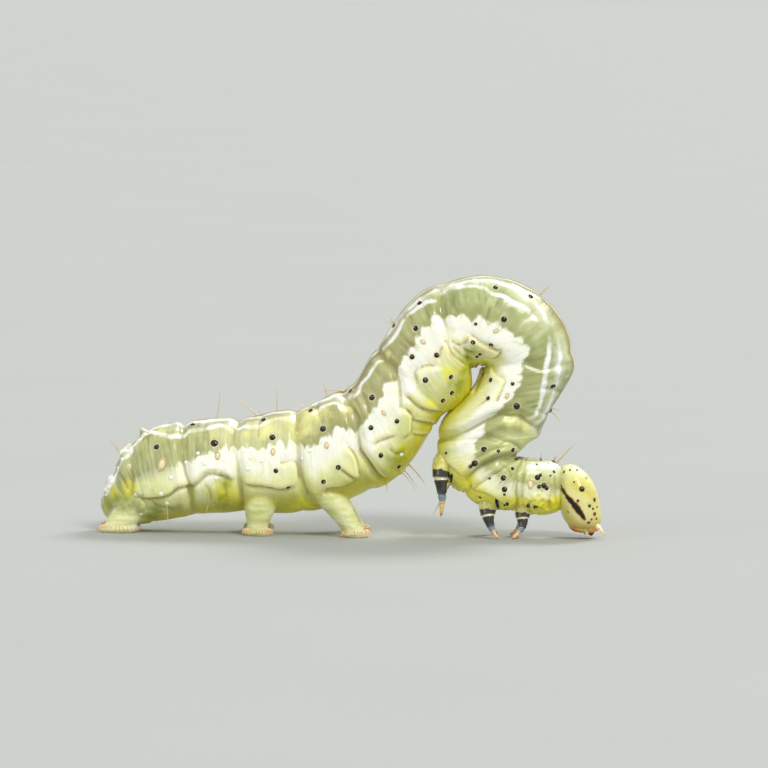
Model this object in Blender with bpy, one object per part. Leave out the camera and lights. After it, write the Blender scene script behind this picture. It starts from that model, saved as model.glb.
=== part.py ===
"""Golden twin-spot moth larva, a life-size still model of a semilooper caught in mid-loop.

Metres, +Z up. The head points along +X, the floor is Z = 0 and the body is symmetric about Y = 0.
The soft body is thirteen lengths, parted at its own folds. Each leg and proleg is its own solid.
"""

import math

import bmesh
import bpy
from mathutils import Vector

MM = 0.001
GAP = 0.25 * MM  # left open between neighbouring solids

# The body is a row of rings, one at each fold between two segments, from the neck to the tail end.
# x and z of the ring's middle, tilt of its back line from +X, height, and width across.
RINGS = (
    (7.48, 1.79, 87, 1.73, 1.60),
    (6.02, 1.94, 80, 1.84, 2.05),
    (4.97, 2.30, 35, 2.26, 2.45),
    (4.98, 3.67, 5, 3.50, 2.95),
    (6.22, 6.43, 11, 3.16, 3.10),
    (3.67, 7.64, 108, 3.04, 3.10),
    (2.00, 5.64, 138, 3.18, 3.15),
    (0.12, 3.40, 107, 3.60, 3.20),
    (-1.90, 2.63, 94, 3.58, 3.20),
    (-4.02, 2.43, 93, 3.24, 3.10),
    (-5.89, 2.28, 98, 3.24, 2.95),
    (-7.61, 1.76, 106, 2.92, 2.55),
    (-8.12, 1.15, 122, 2.10, 2.10),
    (-8.84, 0.70, 122, 0.84, 1.15),
)
# Each segment's name and how far its back, belly and sides swell past the folds at its ends.
SEGMENTS = (
    ("prothorax", 0.10, 0.10, 0.10),
    ("mesothorax", 0.05, 0.10, 0.12),
    ("metathorax", 0.10, 0.40, 0.14),
    ("abdomen_1", 0.22, 0.00, 0.14),
    ("abdomen_2", 0.20, 0.00, 0.12),
    ("abdomen_3", 0.20, 0.00, 0.12),
    ("abdomen_4", 0.08, 0.16, 0.12),
    ("abdomen_5", 0.12, 0.10, 0.12),
    ("abdomen_6", 0.12, 0.10, 0.12),
    ("abdomen_7", 0.12, 0.06, 0.12),
    ("abdomen_8", 0.20, 0.08, 0.12),
    ("abdomen_9", 0.08, 0.06, 0.08),
    ("abdomen_10", 0.10, 0.00, 0.06),
)
RING_SIDES = 28
RINGS_IN_SEGMENT = 9
CLEARANCE_RINGS = 12  # to a segment, in the swollen body that parts a limb from it
SECTION_POWER = 2.25  # a section a little squarer than an ellipse
SIDE_FOLD = 0.09  # how far the fold below the spiracles stands out
SIDE_FOLD_AT = 112  # degrees down from the back
SIDE_FOLD_SPREAD = 16
SWELL_POWER = 0.6

# Prolegs: path and half sizes (along X, along Y) from inside the body down to the sole.
PROLEG_SIDES = 18
PROLEG_5 = (
    (-1.15, 0.80, 2.05, 0.62, 0.60),
    (-0.80, 0.92, 1.45, 0.60, 0.56),
    (-0.42, 0.98, 0.90, 0.44, 0.44),
    (-0.12, 1.00, 0.46, 0.38, 0.38),
    (0.08, 1.02, 0.18, 0.48, 0.42),
    (0.14, 1.02, 0.00, 0.46, 0.36),
)
PROLEG_6 = (
    (-3.28, 0.80, 1.85, 0.66, 0.60),
    (-3.32, 0.92, 1.25, 0.62, 0.56),
    (-3.35, 0.98, 0.80, 0.44, 0.44),
    (-3.38, 1.00, 0.42, 0.37, 0.38),
    (-3.40, 1.02, 0.18, 0.49, 0.42),
    (-3.40, 1.02, 0.00, 0.47, 0.36),
)
ANAL_PROLEG = (
    (-7.75, 0.45, 1.45, 0.60, 0.50),
    (-7.88, 0.56, 1.00, 0.66, 0.50),
    (-8.10, 0.66, 0.60, 0.64, 0.46),
    (-8.32, 0.72, 0.32, 0.61, 0.42),
    (-8.40, 0.76, 0.14, 0.64, 0.42),
    (-8.42, 0.76, 0.00, 0.60, 0.36),
)

# True legs: path and radius, from inside the thorax to the claw. Pairs 1 and 2 stand, pair 3 hangs.
LEG_SIDES = 12
LEG_1 = (
    (6.14, 0.34, 1.50, 0.29),
    (6.12, 0.42, 1.00, 0.29),
    (6.12, 0.50, 0.78, 0.28),
    (6.14, 0.60, 0.56, 0.25),
    (6.03, 0.70, 0.34, 0.24),
    (5.86, 0.76, 0.16, 0.17),
    (5.74, 0.79, 0.00, 0.09),
)
LEG_2 = (
    (4.92, 0.42, 1.70, 0.31),
    (4.86, 0.54, 1.12, 0.30),
    (4.86, 0.62, 0.88, 0.29),
    (4.92, 0.74, 0.62, 0.26),
    (5.03, 0.84, 0.36, 0.24),
    (5.16, 0.90, 0.15, 0.16),
    (5.26, 0.93, 0.00, 0.09),
)
LEG_3 = (
    (3.50, 0.50, 2.85, 0.31),
    (3.30, 0.66, 2.30, 0.31),
    (3.24, 0.74, 1.98, 0.29),
    (3.27, 0.80, 1.66, 0.26),
    (3.27, 0.80, 1.30, 0.24),
    (3.23, 0.77, 1.00, 0.17),
    (3.25, 0.75, 0.74, 0.08),
)

# Head: an egg that leans forward, with its crown parted by a shallow groove.
HEAD_MIDDLE = (8.217, 1.46)
HEAD_LEAN = 15  # degrees from upright, crown towards the tail
HEAD_HALF = (0.78, 1.06, 1.30)  # along, across, up
HEAD_SIDES = 28
HEAD_RINGS = 18
CROWN_GROOVE = 0.10
CHEEK_SWELL = 0.08
# Mouthparts at the bottom of the head: middle (x, y, z), half sizes, lean in degrees.
LABRUM = ((8.74, 0.00, 0.48), (0.20, 0.42, 0.26), 20)
MANDIBLE = ((8.60, 0.24, 0.38), (0.24, 0.26, 0.27), 10)
LOWER_LIP = ((8.14, 0.00, 0.42), (0.32, 0.36, 0.27), -25)
MAXILLA = ((8.28, 0.32, 0.42), (0.26, 0.22, 0.26), -10)

SKIN = ((0.62, 0.68, 0.38), 0.38)
HEAD_SHELL = ((0.78, 0.70, 0.28), 0.30)
LEG_SHELL = ((0.05, 0.045, 0.03), 0.25)


def clear_scene():
    for old in list(bpy.data.objects):
        bpy.data.objects.remove(old, do_unlink=True)


def material(name, colour, roughness):
    made = bpy.data.materials.new(name)
    made.use_nodes = True
    shader = made.node_tree.nodes["Principled BSDF"]
    shader.inputs["Base Color"].default_value = (*colour, 1)
    shader.inputs["Roughness"].default_value = roughness
    shader.inputs["Metallic"].default_value = 0
    return made


def new_collection(name):
    made = bpy.data.collections.new(name)
    bpy.context.scene.collection.children.link(made)
    return made


def add_mesh(name, form, collection, finish=None):
    """Closes a bmesh into an object of its own, smooth over its soft edges."""
    bmesh.ops.recalc_face_normals(form, faces=form.faces)
    mesh = bpy.data.meshes.new(name)
    form.to_mesh(mesh)
    form.free()
    mesh.shade_smooth()
    mesh.set_sharp_from_angle(angle=math.radians(50))
    made = bpy.data.objects.new(name, mesh)
    collection.objects.link(made)
    if finish:
        colour, roughness = finish
        mesh.materials.append(material(name, colour, roughness))
    return made


def loft(rings):
    """A closed bmesh through rings of equally many points, capped flat at both ends."""
    form = bmesh.new()
    rows = [[form.verts.new(point) for point in ring] for ring in rings]
    for first, second in zip(rows, rows[1:]):
        for k in range(len(first)):
            after = (k + 1) % len(first)
            form.faces.new((first[k], first[after], second[after], second[k]))
    form.faces.new(rows[0])
    form.faces.new(rows[-1])
    return form


def ring_at(s):
    """Middle, back direction, tailward normal, height and width of the body at s folds from the neck."""
    first = min(int(s), len(SEGMENTS) - 1)
    t = s - first
    x0, z0, tilt0, height0, width0 = RINGS[first]
    x1, z1, tilt1, height1, width1 = RINGS[first + 1]
    turn = math.radians(tilt1 - tilt0)
    reach = math.hypot(x1 - x0, z1 - z0) * (1 + turn * turn / 20)
    heading0, heading1 = math.radians(tilt0 + 90), math.radians(tilt1 + 90)
    from0, along0 = 2 * t**3 - 3 * t**2 + 1, (t**3 - 2 * t**2 + t) * reach
    from1, along1 = 3 * t**2 - 2 * t**3, (t**3 - t**2) * reach
    x = from0 * x0 + along0 * math.cos(heading0) + from1 * x1 + along1 * math.cos(heading1)
    z = from0 * z0 + along0 * math.sin(heading0) + from1 * z1 + along1 * math.sin(heading1)
    tilt = math.radians(tilt0) + turn * t
    back = Vector((math.cos(tilt), 0, math.sin(tilt)))
    tailward = Vector((-math.sin(tilt), 0, math.cos(tilt)))
    height = height0 * from0 + height1 * from1
    width = width0 * from0 + width1 * from1
    return Vector((x, 0, z)), back, tailward, height, width


def section_points(s, segment, grow=0.0):
    """The points of one ring, in metres. grow widens it all round, in millimetres."""
    middle, back, _, height, width = ring_at(s)
    _, back_swell, belly_swell, side_swell = SEGMENTS[segment]
    swell = max(0.0, math.sin(math.pi * min(max(s - segment, 0), 1))) ** SWELL_POWER
    points = []
    for k in range(RING_SIDES):
        angle = 2 * math.pi * k / RING_SIDES
        up, across = math.cos(angle), math.sin(angle)
        rise = height / 2 + grow + swell * (back_swell if up > 0 else belly_swell)
        spread = width / 2 + grow + swell * side_swell
        down = math.degrees(math.acos(up))
        fold = SIDE_FOLD * swell * math.exp(-(((down - SIDE_FOLD_AT) / SIDE_FOLD_SPREAD) ** 2))
        power = 2 / SECTION_POWER
        rise *= math.copysign(abs(up) ** power, up)
        spread = (spread + fold) * math.copysign(abs(across) ** power, across)
        points.append((middle + back * rise + Vector((0, spread, 0))) * MM)
    return points


def segment_form(segment):
    """One length of the body. Its ends stand half a gap inside the fold planes."""
    front, rear = ring_at(segment)[2], ring_at(segment + 1)[2]
    rings = []
    for step in range(RINGS_IN_SEGMENT):
        t = step / (RINGS_IN_SEGMENT - 1)
        inset = (front * (1 - t) - rear * t) * GAP / 2
        rings.append([point + inset for point in section_points(segment + t, segment)])
    return loft(rings)


def clearance_form(start, end):
    """The body from one ring to another, swollen by a gap, to part a limb from it."""
    steps = round((end - start) * CLEARANCE_RINGS)
    rings = []
    for step in range(steps + 1):
        s = start + (end - start) * step / steps
        rings.append(section_points(s, min(int(s), len(SEGMENTS) - 1), GAP / MM))
    return loft(rings)


def limb_form(path, side):
    """A limb through level rings, half sizes along X and Y, finer between the given rings."""
    sides = PROLEG_SIDES
    rings = []
    for x, y, z, half_x, half_y in path:
        rings.append(
            [
                Vector(
                    (
                        x + half_x * math.cos(2 * math.pi * k / sides),
                        side * (y + half_y * math.sin(2 * math.pi * k / sides)),
                        z,
                    )
                )
                * MM
                for k in range(sides)
            ]
        )
    return loft(rings)


def leg_form(path, side, stands):
    """A jointed leg. Its rings face along it, and the last one of a standing leg lies on the floor."""
    points = [Vector((x, side * y, z)) for x, y, z, _ in path]
    rings = []
    for n, (point, (_, _, _, radius)) in enumerate(zip(points, path)):
        before, after = points[max(n - 1, 0)], points[min(n + 1, len(points) - 1)]
        along = (before - after).normalized()
        if stands and n == len(points) - 1:
            along = Vector((0, 0, 1))
        forward = (Vector((1, 0, 0)) - along * along.x).normalized()
        outward = along.cross(forward)
        rings.append(
            [
                (
                    point
                    + forward * radius * math.cos(2 * math.pi * k / LEG_SIDES)
                    + outward * radius * math.sin(2 * math.pi * k / LEG_SIDES)
                )
                * MM
                for k in range(LEG_SIDES)
            ]
        )
    return loft(rings)


def part_from(limb, cutter):
    """Cuts the body's swollen form out of a limb, so that the two meet face to face."""
    cut = limb.modifiers.new("clear of the body", "BOOLEAN")
    cut.operation = "DIFFERENCE"
    cut.object = cutter


def egg(middle, half, lean, sides, rings):
    """A closed egg with its own lean about Y."""
    form = bmesh.new()
    bmesh.ops.create_uvsphere(form, u_segments=sides, v_segments=rings, radius=1)
    tilt = math.radians(lean)
    for vert in form.verts:
        x, y, z = (part * size for part, size in zip(vert.co, half))
        vert.co = Vector(
            (
                middle[0] + x * math.cos(tilt) - z * math.sin(tilt),
                middle[1] + y,
                middle[2] + x * math.sin(tilt) + z * math.cos(tilt),
            )
        )
    return form


def head_form():
    """The capsule: two rounded cheeks, a groove down the crown, cut square at the neck."""
    form = egg((0, 0, 0), HEAD_HALF, 0, HEAD_SIDES, HEAD_RINGS)
    for vert in form.verts:
        x, y, z = vert.co
        crown = max(0.0, z / HEAD_HALF[2])
        groove = math.exp(-((y / 0.22) ** 2)) * crown**2
        cheek = math.exp(-(((abs(y) - 0.5) / 0.4) ** 2)) * crown
        vert.co.z = z - CROWN_GROOVE * groove + CHEEK_SWELL * cheek
        vert.co.y = y * (1 - 0.16 * max(0.0, -z / HEAD_HALF[2]))
    tilt = math.radians(HEAD_LEAN)
    for vert in form.verts:
        x, y, z = vert.co
        vert.co = Vector(
            (
                HEAD_MIDDLE[0] + x * math.cos(tilt) - z * math.sin(tilt),
                y,
                HEAD_MIDDLE[1] + x * math.sin(tilt) + z * math.cos(tilt),
            )
        )
    middle, _, tailward, _, _ = ring_at(0)
    bmesh.ops.scale(form, vec=Vector((MM, MM, MM)), verts=form.verts)
    cut = bmesh.ops.bisect_plane(
        form,
        geom=form.verts[:] + form.edges[:] + form.faces[:],
        dist=1e-8,
        plane_co=middle * MM - tailward * GAP / 2,
        plane_no=tailward,
        clear_outer=True,
    )
    rim = [edge for edge in cut["geom_cut"] if isinstance(edge, bmesh.types.BMEdge)]
    bmesh.ops.contextual_create(form, geom=rim)
    return form


def add_head(collection):
    """The head capsule with its mouthparts sunk into it and joined as one solid."""
    head = add_mesh("head", head_form(), collection, HEAD_SHELL)
    pieces = bpy.data.collections.new("mouthparts")
    bpy.context.scene.collection.children.link(pieces)
    lumps = [LABRUM, LOWER_LIP]
    for (x, y, z), half, lean in (MANDIBLE, MAXILLA):
        lumps += [((x, side * y, z), half, lean) for side in (-1, 1)]
    for n, (middle, half, lean) in enumerate(lumps):
        form = egg(middle, half, lean, 14, 8)
        bmesh.ops.scale(form, vec=Vector((MM, MM, MM)), verts=form.verts)
        add_mesh(f"mouthpart {n}", form, pieces)
    join = head.modifiers.new("mouthparts", "BOOLEAN")
    join.operation = "UNION"
    join.operand_type = "COLLECTION"
    join.collection = pieces
    bpy.context.view_layer.update()
    whole = bpy.data.meshes.new_from_object(
        head.evaluated_get(bpy.context.evaluated_depsgraph_get())
    )
    head.modifiers.clear()
    head.data = whole
    for piece in list(pieces.objects):
        bpy.data.objects.remove(piece, do_unlink=True)
    bpy.data.collections.remove(pieces)


def main():
    clear_scene()
    larva = new_collection("golden twin-spot moth larva")
    cutters = new_collection("cutters")
    for segment, (name, _, _, _) in enumerate(SEGMENTS):
        add_mesh(name, segment_form(segment), larva, SKIN)
    add_head(larva)

    # The stretch of body that parts each limb from it, from ring to ring, and the limb's own path.
    limbs = (
        ("leg_1", (0, 1.5), LEG_1, True),
        ("leg_2", (0.6, 2.4), LEG_2, True),
        ("leg_3", (1.6, 3.4), LEG_3, False),
        ("proleg_5", (6.6, 8.4), PROLEG_5, None),
        ("proleg_6", (7.6, 9.4), PROLEG_6, None),
        ("anal_proleg", (9.6, 13), ANAL_PROLEG, None),
    )
    for name, stretch, path, stands in limbs:
        cutter = add_mesh(f"clearance {name}", clearance_form(*stretch), cutters)
        cutter.hide_render = True
        cutter.display_type = "WIRE"
        for side, side_name in ((1, "left"), (-1, "right")):
            if stands is None:
                form, finish = limb_form(path, side), SKIN
            else:
                form, finish = leg_form(path, side, stands), LEG_SHELL
            part_from(add_mesh(f"{name}_{side_name}", form, larva, finish), cutter)


main()
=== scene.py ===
import math
import random

import bmesh
import bpy
import numpy as np
from mathutils import Matrix, Vector, noise
from mathutils.bvhtree import BVHTree


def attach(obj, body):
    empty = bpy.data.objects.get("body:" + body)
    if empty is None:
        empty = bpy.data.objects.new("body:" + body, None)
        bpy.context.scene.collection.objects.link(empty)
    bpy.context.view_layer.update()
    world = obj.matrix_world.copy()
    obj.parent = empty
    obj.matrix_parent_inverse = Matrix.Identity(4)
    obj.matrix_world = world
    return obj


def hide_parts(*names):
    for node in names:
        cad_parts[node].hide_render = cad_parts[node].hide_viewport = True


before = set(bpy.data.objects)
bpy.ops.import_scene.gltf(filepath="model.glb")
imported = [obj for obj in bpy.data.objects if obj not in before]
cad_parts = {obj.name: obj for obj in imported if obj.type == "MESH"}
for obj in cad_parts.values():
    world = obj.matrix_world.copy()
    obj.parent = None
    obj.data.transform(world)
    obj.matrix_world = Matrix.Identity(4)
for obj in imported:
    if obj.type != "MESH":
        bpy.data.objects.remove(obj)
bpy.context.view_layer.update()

# The skin of the larva is one thin, moist, see-through bag, drawn in at the folds between its
# segments and crumpled into lobes along its sides. It is swept round a row of rings, one at each
# fold, and the six prolegs' flesh is grown out of it. Under it lie white fat and green gut.
MM = 0.001
# x and z of the ring's middle, tilt of its back line from +X, height, and width across.
RINGS = np.array(
    (
        (7.48, 1.79, 87, 1.73, 1.36),
        (6.02, 1.94, 80, 1.84, 2.05),
        (4.97, 2.30, 35, 2.26, 2.45),
        (4.98, 3.67, 5, 3.50, 2.95),
        (6.22, 6.43, 11, 3.16, 3.10),
        (3.67, 7.64, 108, 3.04, 3.10),
        (2.00, 5.64, 138, 3.18, 3.15),
        (0.12, 3.40, 107, 3.60, 3.20),
        (-1.90, 2.63, 94, 3.58, 3.20),
        (-4.02, 2.43, 93, 3.24, 3.10),
        (-5.89, 2.28, 98, 3.24, 2.95),
        (-7.61, 1.76, 106, 2.92, 2.55),
        (-8.12, 1.15, 122, 2.10, 2.10),
        (-8.84, 0.70, 122, 0.84, 1.15),
    )
)
# How far each segment's back, belly and sides swell past the folds at its ends, neck to tail.
SWELLS = np.array(
    (
        (0.10, 0.10, 0.10),
        (0.05, 0.10, 0.12),
        (0.10, 0.40, 0.14),
        (0.22, 0.00, 0.14),
        (0.20, 0.00, 0.12),
        (0.20, 0.00, 0.12),
        (0.08, 0.16, 0.12),
        (0.12, 0.10, 0.12),
        (0.12, 0.10, 0.12),
        (0.12, 0.06, 0.12),
        (0.20, 0.08, 0.12),
        (0.08, 0.06, 0.08),
        (0.10, 0.00, 0.06),
    )
)
# Where the belly is squeezed out in the loop: folds from the neck against millimetres.
BELLY_AT = (2.8, 3.0, 3.15, 3.35, 3.5, 3.75, 3.9, 4.05, 5.0, 5.09, 5.27, 5.58, 5.85, 6.0, 6.1)
BELLY_OUT = (0, 0.12, 0.26, 0.34, 0.30, 0.24, 0.22, 0, 0.10, 0.66, 0.82, 0.60, 0.32, 0.14, 0)
SECTION_POWER = 2.25
SIDE_FOLD, SIDE_FOLD_AT, SIDE_FOLD_SPREAD = 0.09, 112, 16
SKIN_ROWS, SKIN_SIDES = 520, 144

# The photograph's camera: its picture is square, and 27.65 mm wide at the animal.
PICTURE, PIXEL = 768, 0.036
VIEW_FROM, VIEW_HEIGHT, VIEW_ROLL = 200.0, math.radians(4), math.radians(1)
AIM = Vector((1.056, 0, 5.453))
FORWARD = Vector((0, math.cos(VIEW_HEIGHT), -math.sin(VIEW_HEIGHT)))
LEVEL_UP = Vector((0, math.sin(VIEW_HEIGHT), math.cos(VIEW_HEIGHT)))
RIGHT = Vector((1, 0, 0)) * math.cos(VIEW_ROLL) + LEVEL_UP * math.sin(VIEW_ROLL)
UP = LEVEL_UP * math.cos(VIEW_ROLL) - Vector((1, 0, 0)) * math.sin(VIEW_ROLL)
EYE = AIM - FORWARD * VIEW_FROM
# The feet followed an arch there and stand lower on a flat floor: photo x against millimetres.
ARCH_AT, ARCH_DROP = (140, 190, 242, 300, 357, 410, 446), (0, -0.1, -0.2, -0.25, -0.18, -0.05, 0)


def swept(s, v):
    """Points of the skin, in millimetres, at s folds from the neck and angle v from the back."""
    first = np.clip(s.astype(int), 0, len(SWELLS) - 1)
    t = s - first
    x0, z0, tilt0, height0, width0 = RINGS[first].T
    x1, z1, tilt1, height1, width1 = RINGS[first + 1].T
    turn = np.radians(tilt1 - tilt0)
    reach = np.hypot(x1 - x0, z1 - z0) * (1 + turn**2 / 20)
    heading0, heading1 = np.radians(tilt0 + 90), np.radians(tilt1 + 90)
    from0, along0 = 2 * t**3 - 3 * t**2 + 1, (t**3 - 2 * t**2 + t) * reach
    from1, along1 = 3 * t**2 - 2 * t**3, (t**3 - t**2) * reach
    x = from0 * x0 + along0 * np.cos(heading0) + from1 * x1 + along1 * np.cos(heading1)
    z = from0 * z0 + along0 * np.sin(heading0) + from1 * z1 + along1 * np.sin(heading1)
    tilt = np.radians(tilt0) + turn * t
    height, width = height0 * from0 + height1 * from1, width0 * from0 + width1 * from1
    swell = np.sin(np.pi * np.clip(t, 0, 1)) ** 0.6
    back, belly, side = SWELLS[first].T
    back, belly = swell * back, swell * belly + np.interp(s, BELLY_AT, BELLY_OUT)
    up, across = np.cos(v)[None, :], np.sin(v)[None, :]
    rise = height[:, None] / 2 + np.where(up > 0, back[:, None], belly[:, None])
    down = np.degrees(np.arccos(np.clip(up, -1, 1)))
    fold = SIDE_FOLD * swell[:, None] * np.exp(-(((down - SIDE_FOLD_AT) / SIDE_FOLD_SPREAD) ** 2))
    spread = width[:, None] / 2 + swell[:, None] * side[:, None] + fold
    power = 2 / SECTION_POWER
    rise = rise * np.sign(up) * np.abs(up) ** power
    spread = spread * np.sign(across) * np.abs(across) ** power
    x, z = (at[:, None] + way(tilt)[:, None] * rise for at, way in ((x, np.cos), (z, np.sin)))
    return np.stack((x, spread, z), axis=-1)


def grid_normals(points):
    """Outward normals of a grid that closes on itself across its second direction."""
    along = np.gradient(points, axis=0)
    across = np.roll(points, -1, axis=1) - np.roll(points, 1, axis=1)
    normal = np.cross(across, along)
    return normal / np.maximum(np.linalg.norm(normal, axis=-1, keepdims=True), 1e-9)


def grid_faces(rows, sides):
    """Quads of such a grid, with a fan over each end."""
    a = (np.arange(rows - 1)[:, None] * sides + np.arange(sides)[None, :]).ravel()
    b = (np.arange(rows - 1)[:, None] * sides + (np.arange(sides)[None, :] + 1) % sides).ravel()
    quads = np.stack((a, b, b + sides, a + sides), axis=1).tolist()
    last, pole = (rows - 1) * sides, rows * sides
    for k in range(sides):
        after = (k + 1) % sides
        quads.append((after, k, pole))
        quads.append((last + k, last + after, pole + 1))
    return quads


def ray_to(x, y):
    """The line of sight through a pixel: where it starts, its direction, and a place on it."""
    through = AIM + RIGHT * (x - PICTURE / 2) * PIXEL + UP * (PICTURE / 2 - y) * PIXEL
    through = through + Vector((0, 0, float(np.interp(x, ARCH_AT, ARCH_DROP))))
    return EYE, (through - EYE).normalized(), through


s_rows = np.linspace(0, len(SWELLS), SKIN_ROWS)
v_sides = np.arange(SKIN_SIDES) * 2 * math.pi / SKIN_SIDES
plain = swept(s_rows, v_sides)
ends = np.stack((plain[0].mean(axis=0), plain[-1].mean(axis=0)))
plain_faces = grid_faces(SKIN_ROWS, SKIN_SIDES)
plain_points = np.concatenate((plain.reshape(-1, 3), ends))
plain_tree = BVHTree.FromPolygons(plain_points.tolist(), plain_faces)


def seen(tree, x, y, instead=None):
    """What the line of sight through a pixel meets on a surface, or else the nearest of it."""
    start, direction, through = ray_to(x, y)
    hit = tree.ray_cast(start, direction)
    return tree.find_nearest(instead or through) if hit[0] is None else hit


def on_skin(x, y):
    """The place on the skin's near side that shows at a pixel: point, normal, row and side."""
    hit = seen(plain_tree, x, y)
    row, side = divmod(min(hit[2], (SKIN_ROWS - 1) * SKIN_SIDES - 1), SKIN_SIDES)
    return hit[0], hit[1], row, side


def eased(table, rows):
    """A table of ring values drawn out smoothly to more rows."""
    table = np.array(table, float)
    at = np.linspace(0, len(table) - 1, rows)
    first = np.minimum(at.astype(int), len(table) - 2)
    t = (at - first)[:, None]
    padded = np.concatenate((2 * table[:1] - table[1:2], table, 2 * table[-1:] - table[-2:-1]))
    p0, p1, p2, p3 = (padded[first + k] for k in range(4))
    return 0.5 * (
        2 * p1 + (p2 - p0) * t + (2 * p0 - 5 * p1 + 4 * p2 - p3) * t**2
        + (3 * p1 - p0 - 3 * p2 + p3) * t**3
    )


def traced(path):
    """A measured line, rounded between its points, laid on the skin: its pixels and its places."""
    flat = np.array(path, float)
    reach = np.hypot(*np.diff(flat, axis=0).T).sum()
    flat = eased(flat, max(2, round(reach / 3) + 1))
    return flat, np.array([on_skin(x, y)[0] for x, y in flat])


def pixels_of(points):
    """Where points of the near side show in the photograph."""
    ray = points - np.array(EYE)
    depth = ray @ np.array(FORWARD)
    scale = VIEW_FROM / depth / PIXEL
    x = PICTURE / 2 + ray @ np.array(RIGHT) * scale
    y = PICTURE / 2 - ray @ np.array(UP) * scale
    return np.stack((x, y + np.interp(x, ARCH_AT, ARCH_DROP) / PIXEL), axis=-1)


# A gap in millimetres that stands for nowhere near.
FAR = 9.0
near = plain.reshape(-1, 3).copy()
near[:, 1] = -np.abs(near[:, 1])
near_pixels = pixels_of(near)
# Nothing that a line marks lies further from it than this.
LINE_REACH = 1.3


def distance_to(path):
    """How far each skin point is from a measured line, on which side, and how far from its ends."""
    flat, solid = traced(path)
    best, side, inner = np.full(len(near), FAR), np.ones(len(near)), np.zeros(len(near))
    low, high = solid.min(axis=0) - LINE_REACH, solid.max(axis=0) + LINE_REACH
    close = np.nonzero(((near > low) & (near < high)).all(axis=1))[0]
    spot, pixel = near[close], near_pixels[close]
    found, turn, at = np.full(len(close), 1e9), np.ones(len(close)), np.zeros(len(close))
    for k in range(len(solid) - 1):
        a, b = solid[k], solid[k + 1]
        along = b - a
        share = np.clip((spot - a) @ along / max(along @ along, 1e-9), 0, 1)
        gap = np.linalg.norm(spot - a - share[:, None] * along, axis=1)
        nearer = gap < found
        found = np.where(nearer, gap, found)
        (ax, ay), (bx, by) = flat[k], flat[k + 1]
        cross = (bx - ax) * (pixel[:, 1] - ay) - (by - ay) * (pixel[:, 0] - ax)
        turn = np.where(nearer, np.where(cross > 0, 1, -1), turn)
        at = np.where(nearer, (k + share) / (len(solid) - 1), at)
    best[close], side[close], inner[close] = found, turn, np.minimum(at, 1 - at)
    return best, side, inner


# Folds read from the photograph. A lobe stands out on one side of its line, +1 on the right hand
# going along it, with a cleft on the other: side, height, reach of the lobe, and the line.
LOBES = (
    (-1, 0.13, 0.45, (
        (131, 494), (147, 498), (168, 494), (178, 486), (194, 482), (204.5, 472), (210.6, 469),
        (221, 470), (236, 476),
    )),
    (-1, 0.13, 0.40, ((241, 478), (253.5, 479.6), (270, 481.4), (281, 483), (296, 479))),
    (1, 0.07, 0.25, ((276, 457.6), (296, 455.5), (299.4, 476))),
    (-1, 0.14, 0.42, ((310.6, 491), (321, 488), (329, 482), (343, 480), (359.6, 473))),
    (-1, 0.08, 0.25, ((339, 461.6), (351.4, 470), (359.6, 473))),
    (1, 0.12, 0.35, ((345, 439), (355.5, 451.4), (359.6, 473))),
    (1, 0.10, 0.30, (
        (401, 405), (408.6, 410), (413.5, 415.7), (411.8, 423), (410.7, 431), (402, 437),
    )),
    (-1, 0.08, 0.25, ((372, 441.7), (378, 437.4), (387, 435), (396.6, 432.5))),
    (-1, 0.12, 0.40, (
        (358.7, 434), (362, 448), (371.7, 461), (378, 471), (384.7, 475), (395.6, 473), (404, 470),
    )),
    (-1, 0.06, 0.20, ((410.7, 431), (420.5, 434), (430, 433))),
    (1, 0.11, 0.35, (
        (419.4, 386.4), (417.8, 379), (415.6, 372.3), (419.4, 368), (428, 365), (443, 368),
    )),
    (-1, 0.13, 0.40, (
        (404.2, 391.3), (410.7, 397), (419.4, 405), (428, 408.6), (440, 410.5), (447.6, 410),
    )),
    (-1, 0.09, 0.25, (
        (401, 405), (410.7, 411), (413.5, 418), (424.8, 421), (434.6, 423), (440, 422),
    )),
    (1, 0.08, 0.25, (
        (467, 333.5), (473, 336.6), (481, 342.7), (494.8, 350.4), (500, 352), (494.8, 358),
        (484, 358),
    )),
    (1, 0.07, 0.22, ((441, 341), (447, 342), (450.4, 352), (458, 359.5), (467, 365.7))),
    (-1, 0.06, 0.20, ((443.5, 343.5), (439, 359.5))),
    (-1, 0.06, 0.20, ((450.4, 338), (458, 344), (465.7, 341), (468.7, 333.5))),
    (-1, 0.08, 0.25, ((474, 394.8), (476.4, 385.6), (482.5, 373), (484, 364))),
    (1, 0.07, 0.22, (
        (491, 364), (494.8, 373), (503, 378.7), (504, 382.5), (497.8, 397.8), (494.8, 405.5),
    )),
    (-1, 0.12, 0.35, ((437.6, 456.5), (449, 465), (458, 472.6), (466, 478))),
    (-1, 0.10, 0.30, ((469, 481), (475, 490), (487, 494), (504, 504), (512, 507))),
)
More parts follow.
